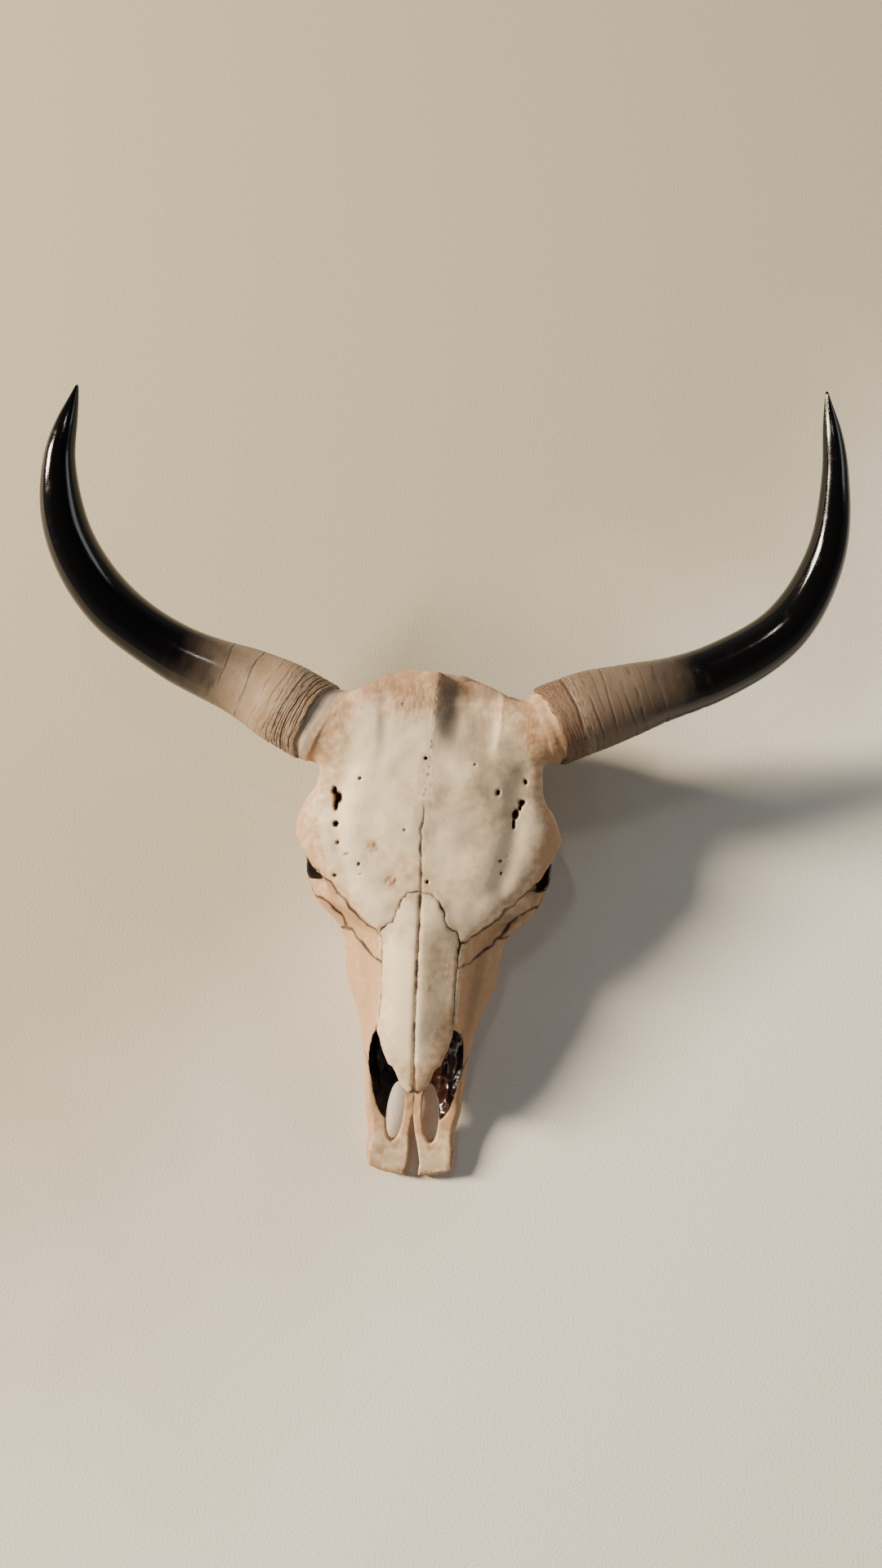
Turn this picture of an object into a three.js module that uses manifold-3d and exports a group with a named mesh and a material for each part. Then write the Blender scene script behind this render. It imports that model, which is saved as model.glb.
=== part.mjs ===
// Longhorn steer skull, life size, resting on its cheek teeth and jugular processes.
//
// The skull is drawn in a frame of its own: X is across (+X to the animal's left), Y runs
// back along the forehead, so the nose lies towards -Y, and Z stands square to the forehead.
// "t" below is the distance from the poll towards the nose, "p" the height above the forehead
// plane and "w" the distance from the midline. At the end the skull is tipped forwards until
// it stands on its teeth, and moved so that its box stands over the origin.
import * as THREE from "three";
import { mergeVertices } from "three/addons/utils/BufferGeometryUtils.js";
import Module from "manifold-3d";

const wasm = await Module();
wasm.setup();

// ---------- driving dimensions, millimetres ----------

const POLL_HEIGHT = 192; // forehead plane at the poll, above the floor
const FOREHEAD_TILT = THREE.MathUtils.degToRad(16); // forehead plane against the floor
const GAP = 0.3; // open seam between two bones
const FINENESS = 0.08; // facets that stand out less than this are merged
const POLL_T = -4;
const NASION_T = 209; // where the nasal bones start
const NASAL_TIP_T = 403;
const MUZZLE_T = 495; // front end of the incisive bones
const FAR = 400; // reaches past everything
const WELD = 1e-4; // points closer than this are one point
const RING_POINTS = 30; // points round a section

// Where the blocks that part the bones end.
const WIDE = 150; // past the orbits, in w
const BEHIND = -60; // past the poll, in t
const FRONTAL_UNDER = -34; // p of the frontal bone's underside over the brain case
const SEAT_IN = 72; // w from which the frontal reaches lower down
const SEAT_END = 100; // t at which a horn seat ends
const SEAT_UNDER = -78;
const RIM_END = 165; // t at which the root of the postorbital bar ends
const RIM_UNDER = -60;
const BROW_UNDER = -44;
const LACRIMAL_BACK = 180;
const LACRIMAL_UNDER = -66;

// Cheek teeth, from the first premolar back.
const TOOTH_ROW_T = 364; // front of the row
const TOOTH_LENGTHS = [17, 19, 20, 26, 28, 30];
const TOOTH_TALL = 46; // with its root
const TOOTH_CUT = 4; // worn off by the floor
const toothRowAt = along([[236, 52], [290, 50], [330, 43], [362, 36]]);

// Horn sheaths, 1 to the animal's left and -1 to its right: the pair grew unevenly.
const HORN_SIDES = 16;
const HORN_STEPS = 20;
const HORN_SEAT = 38.5; // radius of the bone under the root of a sheath
const PEDICLE_T = { 1: 48, [-1]: 56 }; // where the bases of the horns stand
const HORN_PATHS = {
  1: [
    [42.5, 110, -33], [26, 147, -32.5], [9, 193, -31], [-20, 267, -22], [-65, 328, -6],
    [-132, 357, 12], [-207, 357, 26], [-281, 342, 34],
  ],
  [-1]: [
    [53, 116, -33], [36, 150, -32.5], [18, 189, -31], [-8, 260, -22], [-48, 320, -6],
    [-106, 357, 12], [-174, 367, 26], [-244, 352, 34],
  ],
};
// Radii at even steps from root to tip.
const HORN_RADII = {
  1: [41, 40.5, 36.3, 31.1, 28.6, 26.7, 24.4, 22, 19.3, 16.1, 12.3, 8.4, 1],
  [-1]: [41, 40.5, 35.9, 31.2, 28.6, 26.6, 26.2, 24.8, 22.5, 19.7, 15.2, 9.8, 1],
};

// Half widths, heights and depths along the skull, each as [t, value].
const crown = along([
  [-4, -12], [4, -3], [20, 2], [60, 5], [150, 6], [260, 6], [330, 5], [365, 1], [391, -4],
  [403, -8], [440, -22], [495, -35],
]);
const drift = along([[0, 0], [80, -5], [150, -8], [210, -5], [330, -3], [400, 0]]);
const edge = along([
  [-4, 34], [4, 51], [14, 68], [24, 84], [50, 98], [98, 109], [112, 112], [130, 122], [150, 131],
  [166, 126], [182, 117], [200, 103], [218, 84], [236, 66], [256, 46], [300, 41], [350, 43],
  [376, 47], [400, 46], [430, 45], [456, 42], [470, 43.5], [484, 42], [491, 35], [495, 22],
]);
const edgeDrop = along([
  [-4, 4], [20, 12], [60, 15], [98, 24], [130, 32], [152, 35], [182, 35], [210, 27], [236, 17],
  [256, 11], [300, 11], [350, 14], [400, 12], [495, 4],
]);
const underEdgeOut = along([
  [-4, -2], [60, -4], [100, -8], [165, -10], [198, -4], [216, 8], [236, 8], [300, 4], [350, 4],
  [495, 1],
]);
const slump = along([[-4, 5], [14, 9], [40, 8], [84, 0]]); // of the crown, on its +X side only
const plate = along([
  [-4, 8], [30, 18], [100, 16], [200, 14], [300, 16], [400, 8], [495, 3],
]);
const waistWide = along([
  [-4, 30], [14, 64], [30, 82], [46, 80], [66, 69], [100, 62], [160, 58], [196, 60], [207, 88],
  [214, 100], [226, 98], [240, 80], [256, 65], [290, 56], [320, 51], [350, 49.5], [376, 50],
  [400, 48], [430, 46.5], [456, 43], [470, 44.5], [484, 43], [491, 36], [495, 23],
]);
const waistAt = along([
  [-4, -26], [20, -46], [60, -58], [160, -54], [200, -48], [226, -42], [256, -38], [320, -36],
  [372, -42], [436, -44], [495, -43],
]);
const cheekWide = along([
  [-4, 26], [14, 62], [30, 86], [50, 80], [80, 67], [130, 60], [170, 54], [196, 58], [206, 96],
  [213, 112], [222, 108], [232, 92], [243, 83], [256, 79], [285, 79], [303, 77], [318, 71],
  [334, 64], [352, 58], [373, 53], [400, 49.5], [430, 47.5], [456, 43.5], [470, 45], [484, 43.5],
  [491, 36.5], [495, 24],
]);
const cheekAt = along([
  [-4, -40], [20, -78], [60, -88], [130, -86], [190, -80], [226, -74], [256, -70], [290, -72],
  [320, -64], [345, -58], [372, -55], [436, -50], [495, -47],
]);
const baseWide = along([
  [-4, 20], [14, 50], [30, 62], [60, 56], [100, 46], [150, 38], [192, 44], [208, 64], [240, 68],
  [290, 65], [320, 57], [345, 49], [400, 43], [470, 39], [488, 34], [495, 19],
]);
const baseAt = along([
  [-4, -48], [8, -92], [24, -114], [50, -124], [86, -127], [130, -108], [165, -95], [196, -95],
  [214, -104], [240, -106], [290, -92], [345, -78], [400, -67], [440, -60], [495, -52],
]);

// Stations of the sections: closer together where the outline turns fast.
const STATIONS = [
  POLL_T, 3, 14, 30, 52, 76, 98, 118, 136, 152, 168, 184, 196, 204, 211, 220, 232, 246, 262,
  282, 298, 316, 338, 366, 394, 430, 456, 472, 487, MUZZLE_T,
];

// Nasal bones: half width from their own midline seam, with the notch by the tip.
const nasalWide = along([
  [209, 3], [211, 12], [223, 20], [240, 27], [247, 37], [256, 39], [300, 37], [326, 37], [345, 35],
  [363, 30], [371, 26], [376, 24], [378, 19.5], [391, 14], [400, 8], [403, 4],
]);
const NASAL_THICK = 10;

// Seams in plan, outer ends past the bone, as [t, w] for the +X side.
const FRONTAL_SEAM = [
  [197, 150], [197, 108], [206, 97], [218, 84], [225, 76], [236, 68], [244, 58], [256, 39.5],
];
const LACRIMAL_SEAM = [
  [222, 150], [222, 116], [229, 98], [240, 85], [253, 77], [261, 69], [268, 59], [279, 47],
  [281, 30],
];

// Front seam of the zygomatic bone from the side, as [t, p].
const ZYGOMATIC_SEAM = [
  [204, -FAR], [204, -120], [222, -108], [240, -94], [250, -80], [256, -64], [258, -44], [258, FAR],
];

// ---------- small tools ----------

// A smooth function through [t, value] pairs that never overshoots them.
function along(pairs) {
  const slopes = pairs.slice(1).map(([t, v], i) => (v - pairs[i][1]) / (t - pairs[i][0]));
  const tangents = pairs.map((_, i) => {
    const before = slopes[Math.max(i - 1, 0)];
    const after = slopes[Math.min(i, slopes.length - 1)];
    return before * after <= 0 ? 0 : (2 * before * after) / (before + after);
  });
  return (t) => {
    if (t <= pairs[0][0]) return pairs[0][1];
    const i = pairs.findIndex(([end]) => end >= t) - 1;
    if (i < 0) return pairs[pairs.length - 1][1];
    const span = pairs[i + 1][0] - pairs[i][0];
    const u = (t - pairs[i][0]) / span;
    return (
      pairs[i][1] * (1 + 2 * u) * (1 - u) ** 2 +
      pairs[i + 1][1] * u * u * (3 - 2 * u) +
      tangents[i] * span * u * (1 - u) ** 2 -
      tangents[i + 1] * span * u * u * (1 - u)
    );
  };
}

const at = (t, w, p) => new THREE.Vector3(w, -t, p);

// Positions only, each used once: the form that the solids are made from.
function welded(geometry) {
  const bare = geometry.clone();
  bare.deleteAttribute("normal");
  bare.deleteAttribute("uv");
  return mergeVertices(bare, WELD);
}

function closedSolid(geometry) {
  return new wasm.Manifold(
    new wasm.Mesh({
      numProp: 3,
      vertProperties: new Float32Array(geometry.attributes.position.array),
      triVerts: new Uint32Array(geometry.index.array),
    }),
  );
}

function turnedInsideOut(geometry) {
  const index = Array.from(geometry.index.array);
  for (let i = 0; i < index.length; i += 3) {
    [index[i + 1], index[i + 2]] = [index[i + 2], index[i + 1]];
  }
  return geometry.clone().setIndex(index);
}

function solidOf(geometry) {
  const skin = welded(geometry);
  const solid = closedSolid(skin);
  return solid.volume() < 0 ? closedSolid(turnedInsideOut(skin)) : solid;
}

function geometryFrom(points, index) {
  const numbers = points.flatMap((v) => [v.x, v.y, v.z]);
  const geometry = new THREE.BufferGeometry();
  geometry.setAttribute("position", new THREE.Float32BufferAttribute(numbers, 3));
  geometry.setIndex(index);
  return geometry;
}

// Triangles of the wall between rings of count points each.
function wallIndex(rings, count) {
  const index = [];
  for (let r = 0; r + 1 < rings; r++) {
    for (let i = 0; i < count; i++) {
      const a = r * count + i;
      const b = r * count + ((i + 1) % count);
      index.push(a, b, b + count, a, b + count, a + count);
    }
  }
  return index;
}

// A closed surface through flat rings that face along Y and may be hollow in outline.
function loft(rings) {
  const count = rings[0].length;
  const index = wallIndex(rings.length, count);
  const cap = (ring, first, flip) => {
    const flat = ring.map((v) => new THREE.Vector2(v.x, v.z));
    for (const [a, b, c] of THREE.ShapeUtils.triangulateShape(flat, [])) {
      index.push(first + a, first + (flip ? c : b), first + (flip ? b : c));
    }
  };
  const turn = THREE.ShapeUtils.area(rings[0].map((v) => new THREE.Vector2(v.x, v.z))) > 0;
  cap(rings[0], 0, turn);
  cap(rings[rings.length - 1], (rings.length - 1) * count, !turn);
  return geometryFrom(rings.flat(), index);
}

// Rings closed by a fan at each end: for convex rings that turn in space.
function fanned(rings) {
  const count = rings[0].length;
  const points = rings.flat();
  const index = wallIndex(rings.length, count);
  const fan = (ring, first, flip) => {
    const middle = ring.reduce((sum, v) => sum.add(v), new THREE.Vector3()).divideScalar(count);
    const hub = points.push(middle) - 1;
    for (let i = 0; i < count; i++) {
      const a = first + i;
      const b = first + ((i + 1) % count);
      index.push(hub, flip ? b : a, flip ? a : b);
    }
  };
  fan(rings[0], 0, true);
  fan(rings[rings.length - 1], (rings.length - 1) * count, false);
  return geometryFrom(points, index);
}

// An oval ring round a centre, spanned by two directions of the given half sizes.
function ovalRing(centre, across, upright, halfAcross, halfUpright, sides) {
  return Array.from({ length: sides }, (_, k) => {
    const a = (2 * Math.PI * k) / sides;
    return centre
      .clone()
      .addScaledVector(across, Math.cos(a) * halfAcross)
      .addScaledVector(upright, Math.sin(a) * halfUpright);
  });
}

// An oval bar along a smooth path. widths are [across, upright] half sizes at each path point,
// and "across" lies square to the path and to up.
function bar(path, widths, { sides = 10, steps = 14, up = new THREE.Vector3(0, 0, 1) } = {}) {
  const curve = new THREE.CatmullRomCurve3(path, false, "catmullrom", 0.5);
  const share = (i) => i / (widths.length - 1);
  const acrossAt = along(widths.map(([a], i) => [share(i), a]));
  const uprightAt = along(widths.map(([, b], i) => [share(i), b]));
  const rings = [];
  for (let s = 0; s <= steps; s++) {
    const u = s / steps;
    const ahead = curve.getTangent(u);
    const across = new THREE.Vector3().crossVectors(ahead, up).normalize();
    const upright = new THREE.Vector3().crossVectors(across, ahead).normalize();
    rings.push(ovalRing(curve.getPoint(u), across, upright, acrossAt(u), uprightAt(u), sides));
  }
  return solidOf(fanned(rings));
}

function ball(centre, radii, detail = 12) {
  const sphere = new THREE.SphereGeometry(1, detail, Math.ceil(detail / 2));
  return solidOf(sphere.scale(...radii).translate(...centre.toArray()));
}

// A plan outline, given as [t, w], as an upright prism from height low to high.
function planPrism(outline, low = -FAR, high = FAR) {
  const shape = new THREE.Shape(outline.map(([t, w]) => new THREE.Vector2(w, -t)));
  const block = new THREE.ExtrudeGeometry(shape, { depth: high - low, bevelEnabled: false });
  return solidOf(block.translate(0, 0, low));
}

// An upright prism over the rectangle from t0 to t1 and from w0 to w1.
const planBox = (t0, t1, w0, w1, low, high) =>
  planPrism([[t0, w0], [t1, w0], [t1, w1], [t0, w1]], low, high);

// A side view outline, given as [t, p], as a prism across the skull from w = low to w = high.
function sidePrism(outline, low = -FAR, high = FAR) {
  const shape = new THREE.Shape(outline.map(([t, p]) => new THREE.Vector2(t, p)));
  const block = new THREE.ExtrudeGeometry(shape, { depth: high - low, bevelEnabled: false });
  // Shape X is t, shape Y is p and the depth is w.
  const turn = new THREE.Matrix4().set(0, 0, 1, low, -1, 0, 0, 0, 0, 1, 0, 0, 0, 0, 0, 1);
  return solidOf(block.applyMatrix4(turn));
}

const mirrored = (outline) => outline.map(([t, w]) => [t, -w]);
const join = (...solids) => solids.reduce((all, solid) => all.add(solid));
const both = (make) => join(make(-1), make(1));

// ---------- the whole skull ----------

// The drawn points of a section, from the crown round one side to the underside, each as
// [w, p, pull, fall]: pull is how far the point follows the drift of the midline, and fall how
// far it follows the slump of the crown on the +X side.
function halfSection(t) {
  const top = crown(t);
  const brim = top - edgeDrop(t);
  const under = brim - plate(t);
  return [
    [0, top, 1],
    [0.5 * edge(t), top - 0.16 * edgeDrop(t), 0.7, 1],
    [0.85 * edge(t), top - 0.55 * edgeDrop(t), 0.2, 0.45],
    [edge(t), brim, 0],
    [edge(t) + underEdgeOut(t), under, 0],
    [waistWide(t), Math.min(waistAt(t), under - 2), 0],
    [cheekWide(t), cheekAt(t), 0],
    [baseWide(t), 0.25 * cheekAt(t) + 0.75 * baseAt(t), 0],
    [0.6 * baseWide(t), baseAt(t), 0],
    [0, baseAt(t), 0],
  ];
}

function sectionRing(t) {
  const half = halfSection(t);
  const right = half.map(([w, p, pull, fall = 0]) => at(t, w + pull * drift(t), p - fall * slump(t)));
  const left = half.slice(1, -1).reverse().map(([w, p, pull]) => at(t, -w + pull * drift(t), p));
  const loop = new THREE.CatmullRomCurve3([...right, ...left], true, "catmullrom", 0.4);
  return Array.from({ length: RING_POINTS }, (_, i) => loop.getPoint(i / RING_POINTS));
}

const mainForm = () => solidOf(loft(STATIONS.map(sectionRing)));

function zygomaticArch(side) {
  const path = [
    [284, 66, -74], [252, 78, -73], [227, 102, -75], [204, 115, -80], [177, 120, -85],
    [150, 120, -87], [124, 112, -88], [102, 96, -92], [78, 68, -98], [66, 52, -100],
  ];
  const widths = [
    [8, 12], [9, 15], [9, 19], [7, 16], [6, 12], [7, 12], [6, 9], [7, 9], [9, 13], [10, 14],
  ];
  return bar(path.map(([t, w, p]) => at(t, side * w, p)), widths, { steps: 15 });
}

function postorbitalBar(side) {
  const path = [at(140, side * 114, -32), at(144, side * 121, -58), at(152, side * 120, -88)];
  const up = new THREE.Vector3(side, 0, 0);
  return bar(path, [[15, 8], [11, 7], [15, 8]], { sides: 8, steps: 5, up });
}

function hornPedicle(side) {
  const t = PEDICLE_T[side];
  const path = [at(t, side * 66, -38), at(t, side * 90, -34), hornPath(side)[0]];
  return bar(path, [[45, 40], [36.5, 38], [HORN_SEAT, HORN_SEAT]], { sides: 16, steps: 4 });
}

// Everything beyond the plane on which a horn sheath starts.
function beyondHornRoot(side) {
  const [root, next] = hornPath(side);
  const ahead = next.clone().sub(root).normalize();
  const block = new THREE.CylinderGeometry(64, 64, 60, 24).translate(0, 30, 0);
  block.applyQuaternion(new THREE.Quaternion().setFromUnitVectors(new THREE.Vector3(0, 1, 0), ahead));
  return solidOf(block.translate(...root.toArray()));
}

// A kidney shaped knuckle beside the opening for the spinal cord.
const condyle = (side) =>
  ball(at(42, side * 28, -112), [12, 18, 18], 10).add(ball(at(52, side * 21, -128), [14, 21, 15], 10));

const tympanicBulla = (side) => ball(at(121, side * 41, -119), [11, 21, 17], 10);

function jugularProcess(side) {
  const path = [at(60, side * 53, -100), at(76, side * 60, -138), at(93, side * 53, -182)];
  const up = new THREE.Vector3(0, 1, 0);
  return bar(path, [[20, 24], [10, 16], [5, 9]], { sides: 8, steps: 5, up });
}

function pterygoidPlate(side) {
  const outline = [
    [150, -84], [236, -84], [238, -106], [222, -122], [206, -129], [194, -125], [178, -104],
  ];
  return sidePrism(outline, Math.min(side * 21, side * 30), Math.max(side * 21, side * 30));
}

// One row of six cheek teeth: three premolars of one lobe, then three molars of two.
function toothRow(side) {
  const lobes = [];
  let front = TOOTH_ROW_T;
  for (const [i, length] of TOOTH_LENGTHS.entries()) {
    const count = i < 3 ? 1 : 2;
    const halfWidth = 8 + 0.9 * i;
    for (let lobe = 0; lobe < count; lobe++) {
      const t = front - (length * (lobe + 0.5)) / count;
      const worn = (t * Math.sin(FOREHEAD_TILT) - POLL_HEIGHT) / Math.cos(FOREHEAD_TILT);
      const column = new THREE.CylinderGeometry(1, 1, TOOTH_TALL, 8).rotateX(Math.PI / 2);
      column.scale(halfWidth, (0.56 * length) / count, 1).rotateX(-FOREHEAD_TILT);
      column.translate(...at(t, side * toothRowAt(t), worn + TOOTH_TALL / 2 - TOOTH_CUT).toArray());
      lobes.push(solidOf(column));
    }
    front -= length;
  }
  return join(...lobes);
}

const orbit = (side) => ball(at(177, side * 116, -58), [44, 30, 29], 16);

function nasalCavity() {
  const wide = along([
    [292, 10], [304, 22], [320, 30], [345, 41], [360, 44.5], [384, 45.5], [400, 42], [431, 33.5],
    [449, 14],
  ]);
  const roof = along([[292, -14], [320, -5], [350, -8], [392, -17], [449, -20]]);
  const bed = along([
    [292, -60], [320, -70], [345, -66], [384, -61], [400, -58], [431, -54], [449, -40],
  ]);
  const squarish = (v) => Math.sign(v) * Math.abs(v) ** 0.7;
  const rings = [292, 304, 320, 345, 360, 384, 400, 431, 449].map((t) => {
    const middle = (roof(t) + bed(t)) / 2;
    const half = (roof(t) - bed(t)) / 2;
    return Array.from({ length: 12 }, (_, k) => {
      const a = (2 * Math.PI * (k + 0.5)) / 12;
      return at(t, squarish(Math.cos(a)) * wide(t), middle + squarish(Math.sin(a)) * half);
    });
  });
  return solidOf(loft(rings));
}

// What lies above the rim of the nose opening and above the muzzle.
function aboveNoseRim() {
  const rim = [
    [334, -3], [346, -19], [372, -33], [400, -40], [430, -43], [474, -41], [488, -42], [508, -48],
  ];
  return sidePrism([[334, FAR], ...rim, [508, FAR]]);
}

function palatineFissure(side) {
  const hole = new THREE.CylinderGeometry(1, 1, 120, 16).rotateX(Math.PI / 2).scale(8.6, 28, 1);
  hole.rotateZ(side * THREE.MathUtils.degToRad(-4)).translate(side * 17.5, -434, -50);
  return solidOf(hole);
}

const muzzleGap = () =>
  planPrism([
    [438, 0.4], [454, 4], [466, 7], [482, 10], [508, 7.5], [508, -8], [482, -3], [466, -1.8], [454, -3],
    [438, -0.4],
  ]);

const foramenMagnum = () =>
  solidOf(new THREE.CylinderGeometry(17, 12, 80, 16).scale(1, 1, 0.9).translate(0, -38, -106));

// The gap between the two pterygoid plates, open to the back and below.
function choana() {
  const throat = [
    [120, -140], [150, -95], [200, -84], [246, -84], [246, -101], [228, -102], [214, -140],
  ];
  return sidePrism(throat, -21, 21);
}

const skull = join(
  mainForm(),
  both(zygomaticArch),
  both(postorbitalBar),
  both(hornPedicle),
  both(condyle),
  both(tympanicBulla),
  both(jugularProcess),
)
  .subtract(both(beyondHornRoot))
  .subtract(both(orbit))
  .subtract(choana())
  .add(both(pterygoidPlate))
  .subtract(foramenMagnum());

// ---------- parting the bones ----------

// The nasal pair in plan, spread by a gap all round.
function nasalOutline(spread) {
  const stops = [209, 211, 216, 223, 232, 240, 247, 256, 300, 326, 345, 363, 376, 378, 391, 403];
  const side = (sign) => stops.map((t) => [t, drift(t) + sign * (nasalWide(t) + spread)]);
  const back = [NASION_T - spread - 1, drift(NASION_T)];
  const tips = [[NASAL_TIP_T - 1, 1.5], [NASAL_TIP_T - 14, 0], [NASAL_TIP_T - 1, -1.5]];
  return [back, ...side(1), ...tips, ...side(-1).reverse()];
}

// The nasal pair lies on a bed that follows the crown, NASAL_THICK below it.
function nasalBlock(spread) {
  const stops = [200, 240, 300, 340, 365, 410];
  const bed = stops.map((t) => [t, crown(t) - NASAL_THICK * (t > 350 ? 0.7 : 1) - 4 - spread]);
  return planPrism(nasalOutline(spread)).intersect(sidePrism([[200, FAR], ...bed, [410, FAR]]));
}

// Behind the frontal seam and above the wall of the brain case, the horn seats included.
function frontalBlock(spread) {
  const seam = FRONTAL_SEAM.map(([t, w]) => [t + spread, w]);
  const within = (back) => [[back, WIDE], ...seam, ...mirrored(seam).reverse(), [back, -WIDE]];
  const slab = planPrism(within(BEHIND), FRONTAL_UNDER - spread);
  const brow = planPrism(within(SEAT_END - 1), BROW_UNDER - spread);
  const outer = (side) => {
    const [inner, far] = [side * (SEAT_IN - spread), side * FAR];
    const seat = planBox(BEHIND, SEAT_END + spread, inner, far, SEAT_UNDER - spread);
    const rim = planBox(SEAT_END - 1, RIM_END + spread, inner, far, RIM_UNDER - spread);
    return join(seat, rim, brow.intersect(planBox(BEHIND, FAR, inner, far)));
  };
  return slab.add(outer(1)).add(outer(-1));
}

function lacrimalBlock(side, spread) {
  const seam = LACRIMAL_SEAM.map(([t, w]) => [t + spread, w]);
  const plan = [[LACRIMAL_BACK - spread, WIDE], ...seam, [LACRIMAL_BACK - spread, 30]];
  return planPrism(side > 0 ? plan : mirrored(plan), LACRIMAL_UNDER - spread);
}

// Behind a seam that runs slantwise down and back from the lacrimal bone.
function zygomaticBlock(side, spread) {
  const seam = ZYGOMATIC_SEAM.map(([t, p]) => [t + spread, p]);
  const inner = side * (73 - spread);
  const outline = [[128 - spread, FAR], [128 - spread, -FAR], ...seam];
  return sidePrism(outline, Math.min(inner, side * WIDE), Math.max(inner, side * WIDE));
}

// The wall behind the brain case, and the floor under it as far as the bullae.
function occipitalBlock(spread) {
  const wall = planBox(BEHIND, 24 + spread, -FAR, FAR);
  return wall.add(planBox(BEHIND, 106 + spread, -FAR, FAR, -FAR, -92 + spread));
}

const temporalBlock = (side, spread) => planBox(BEHIND, 160 + spread, side * (40 - spread), side * FAR);

const skullBaseBlock = (spread) =>
  planBox(BEHIND, 226 + spread, -34 - spread, 34 + spread).add(planBox(BEHIND, 190 + spread, -60, 60));

function incisiveBlock(spread) {
  const back = [[398 - spread, 38], [372 - spread, 54], [368 - spread, 70]];
  return planPrism([...back, [520, 70], [520, -70], ...mirrored(back).reverse()]);
}

// One side of the midline that the forehead and the nose follow.
function driftedHalf(side, spread) {
  const middle = [-80, 0, 80, 150, 209, 330, 400, 560].map((t) => [t, drift(t) + (side * spread) / 2]);
  return planPrism([...middle, [560, side * FAR], [-80, side * FAR]]);
}

const straightHalf = (side, spread) => planBox(-80, 560, (side * spread) / 2, side * FAR);

const SIDES = [[1, "left"], [-1, "right"]];
const bones = new Map();
let left = skull;

// Takes what a block holds out of the skull, and leaves an open seam round it.
function part(name, block) {
  bones.set(name, left.intersect(block(0)));
  left = left.subtract(block(GAP));
}

function partBoth(name, block) {
  for (const [side, word] of SIDES) {
    part(`${name}_${word}`, (spread) => block(side, spread));
  }
}

part("nasal", nasalBlock);
left = left.subtract(nasalCavity()).subtract(aboveNoseRim());
left = left.subtract(both(palatineFissure)).subtract(muzzleGap()).add(both(toothRow));
part("frontal", frontalBlock);
partBoth("lacrimal", lacrimalBlock);
partBoth("zygomatic", zygomaticBlock);
part("incisive", incisiveBlock);
part("occipital", occipitalBlock);
partBoth("temporal", temporalBlock);
part("skull_base", skullBaseBlock);
bones.set("maxilla", left);

function halve(name, half) {
  for (const [side, word] of SIDES) {
    bones.set(`${name}_${word}`, bones.get(name).intersect(half(side, GAP)));
  }
  bones.delete(name);
}

halve("nasal", driftedHalf);
halve("frontal", driftedHalf);
halve("maxilla", straightHalf);
halve("incisive", straightHalf);

// ---------- horns ----------

function hornPath(side) {
  return HORN_PATHS[side].map(([t, w, p]) => at(t, side * w, p));
}

function hornSheath(side) {
  const curve = new THREE.CatmullRomCurve3(hornPath(side), false, "catmullrom", 0.5);
  const frames = curve.computeFrenetFrames(HORN_STEPS, false);
  const radii = HORN_RADII[side];
  const radiusAt = along(radii.map((radius, i) => [i / (radii.length - 1), radius]));
  const rings = [];
  for (let s = 0; s <= HORN_STEPS; s++) {
    const u = s / HORN_STEPS;
    const centre = curve.getPointAt(u);
    if (s === 0) centre.addScaledVector(frames.tangents[0], GAP);
    const radius = radiusAt(u);
    rings.push(ovalRing(centre, frames.normals[s], frames.binormals[s], radius, radius, HORN_SIDES));
  }
  return solidOf(fanned(rings));
}

// ---------- setting it down ----------

const down = new THREE.Matrix4()
  .makeTranslation(0, 0, POLL_HEIGHT)
  .multiply(new THREE.Matrix4().makeRotationX(FOREHEAD_TILT));

function geometryOf(solid) {
  const mesh = solid.getMesh();
  const points = new Float32Array(mesh.numVert * 3);
  for (let i = 0; i < mesh.numVert; i++) {
    points.set(mesh.vertProperties.subarray(i * mesh.numProp, i * mesh.numProp + 3), i * 3);
  }
  return new THREE.BufferGeometry()
    .setAttribute("position", new THREE.BufferAttribute(points, 3))
    .setIndex(new THREE.BufferAttribute(new Uint32Array(mesh.triVerts), 1));
}

// The one biggest body: crumbs that a seam leaves beside a bone are dropped.
const biggest = (solid) => solid.decompose().sort((a, b) => b.volume() - a.volume())[0];

const ground = solidOf(new THREE.BoxGeometry(2000, 2000, 200).translate(0, 0, -100));

// Tips a solid into its resting place and cuts it off at the floor.
function standing(solid) {
  const tipped = solidOf(geometryOf(biggest(solid)).applyMatrix4(down));
  return biggest(tipped.subtract(ground)).setTolerance(FINENESS);
}

const solids = new Map([...bones].map(([name, solid]) => [name, standing(solid)]));
solids.set("horn_left", standing(hornSheath(1)));
solids.set("horn_right", standing(hornSheath(-1)));

const BONE = new THREE.MeshStandardMaterial({ color: 0xdccdb2, roughness: 0.62, metalness: 0 });
const HORN = new THREE.MeshStandardMaterial({ color: 0x1a1512, roughness: 0.22, metalness: 0 });

const box = new THREE.Box3();
const meshes = [...solids].map(([name, solid]) => {
  const mesh = new THREE.Mesh(geometryOf(solid), name.startsWith("horn") ? HORN : BONE);
  mesh.name = name;
  mesh.geometry.computeBoundingBox();
  box.union(mesh.geometry.boundingBox);
  return mesh;
});
const middle = box.getCenter(new THREE.Vector3());
for (const mesh of meshes) {
  mesh.geometry.translate(-middle.x, -middle.y, 0);
}

const group = new THREE.Group();
group.add(...meshes);
export default group;
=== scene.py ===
"""Longhorn steer skull: dry cream bones with dark seams, and two black polished horn sheaths.

The bones are drawn as distance fields in the skull's own frame, in millimetres: w across,
t from the poll towards the nose, and p square to the forehead, upwards. The fields are joined,
carved and parted along the seams, and each bone becomes one closed mesh. Everything is then
tipped into the resting frame that the solids use.
"""

import math

import bpy
import numpy as np
import openvdb as vdb
from mathutils import Matrix, Vector


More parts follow.
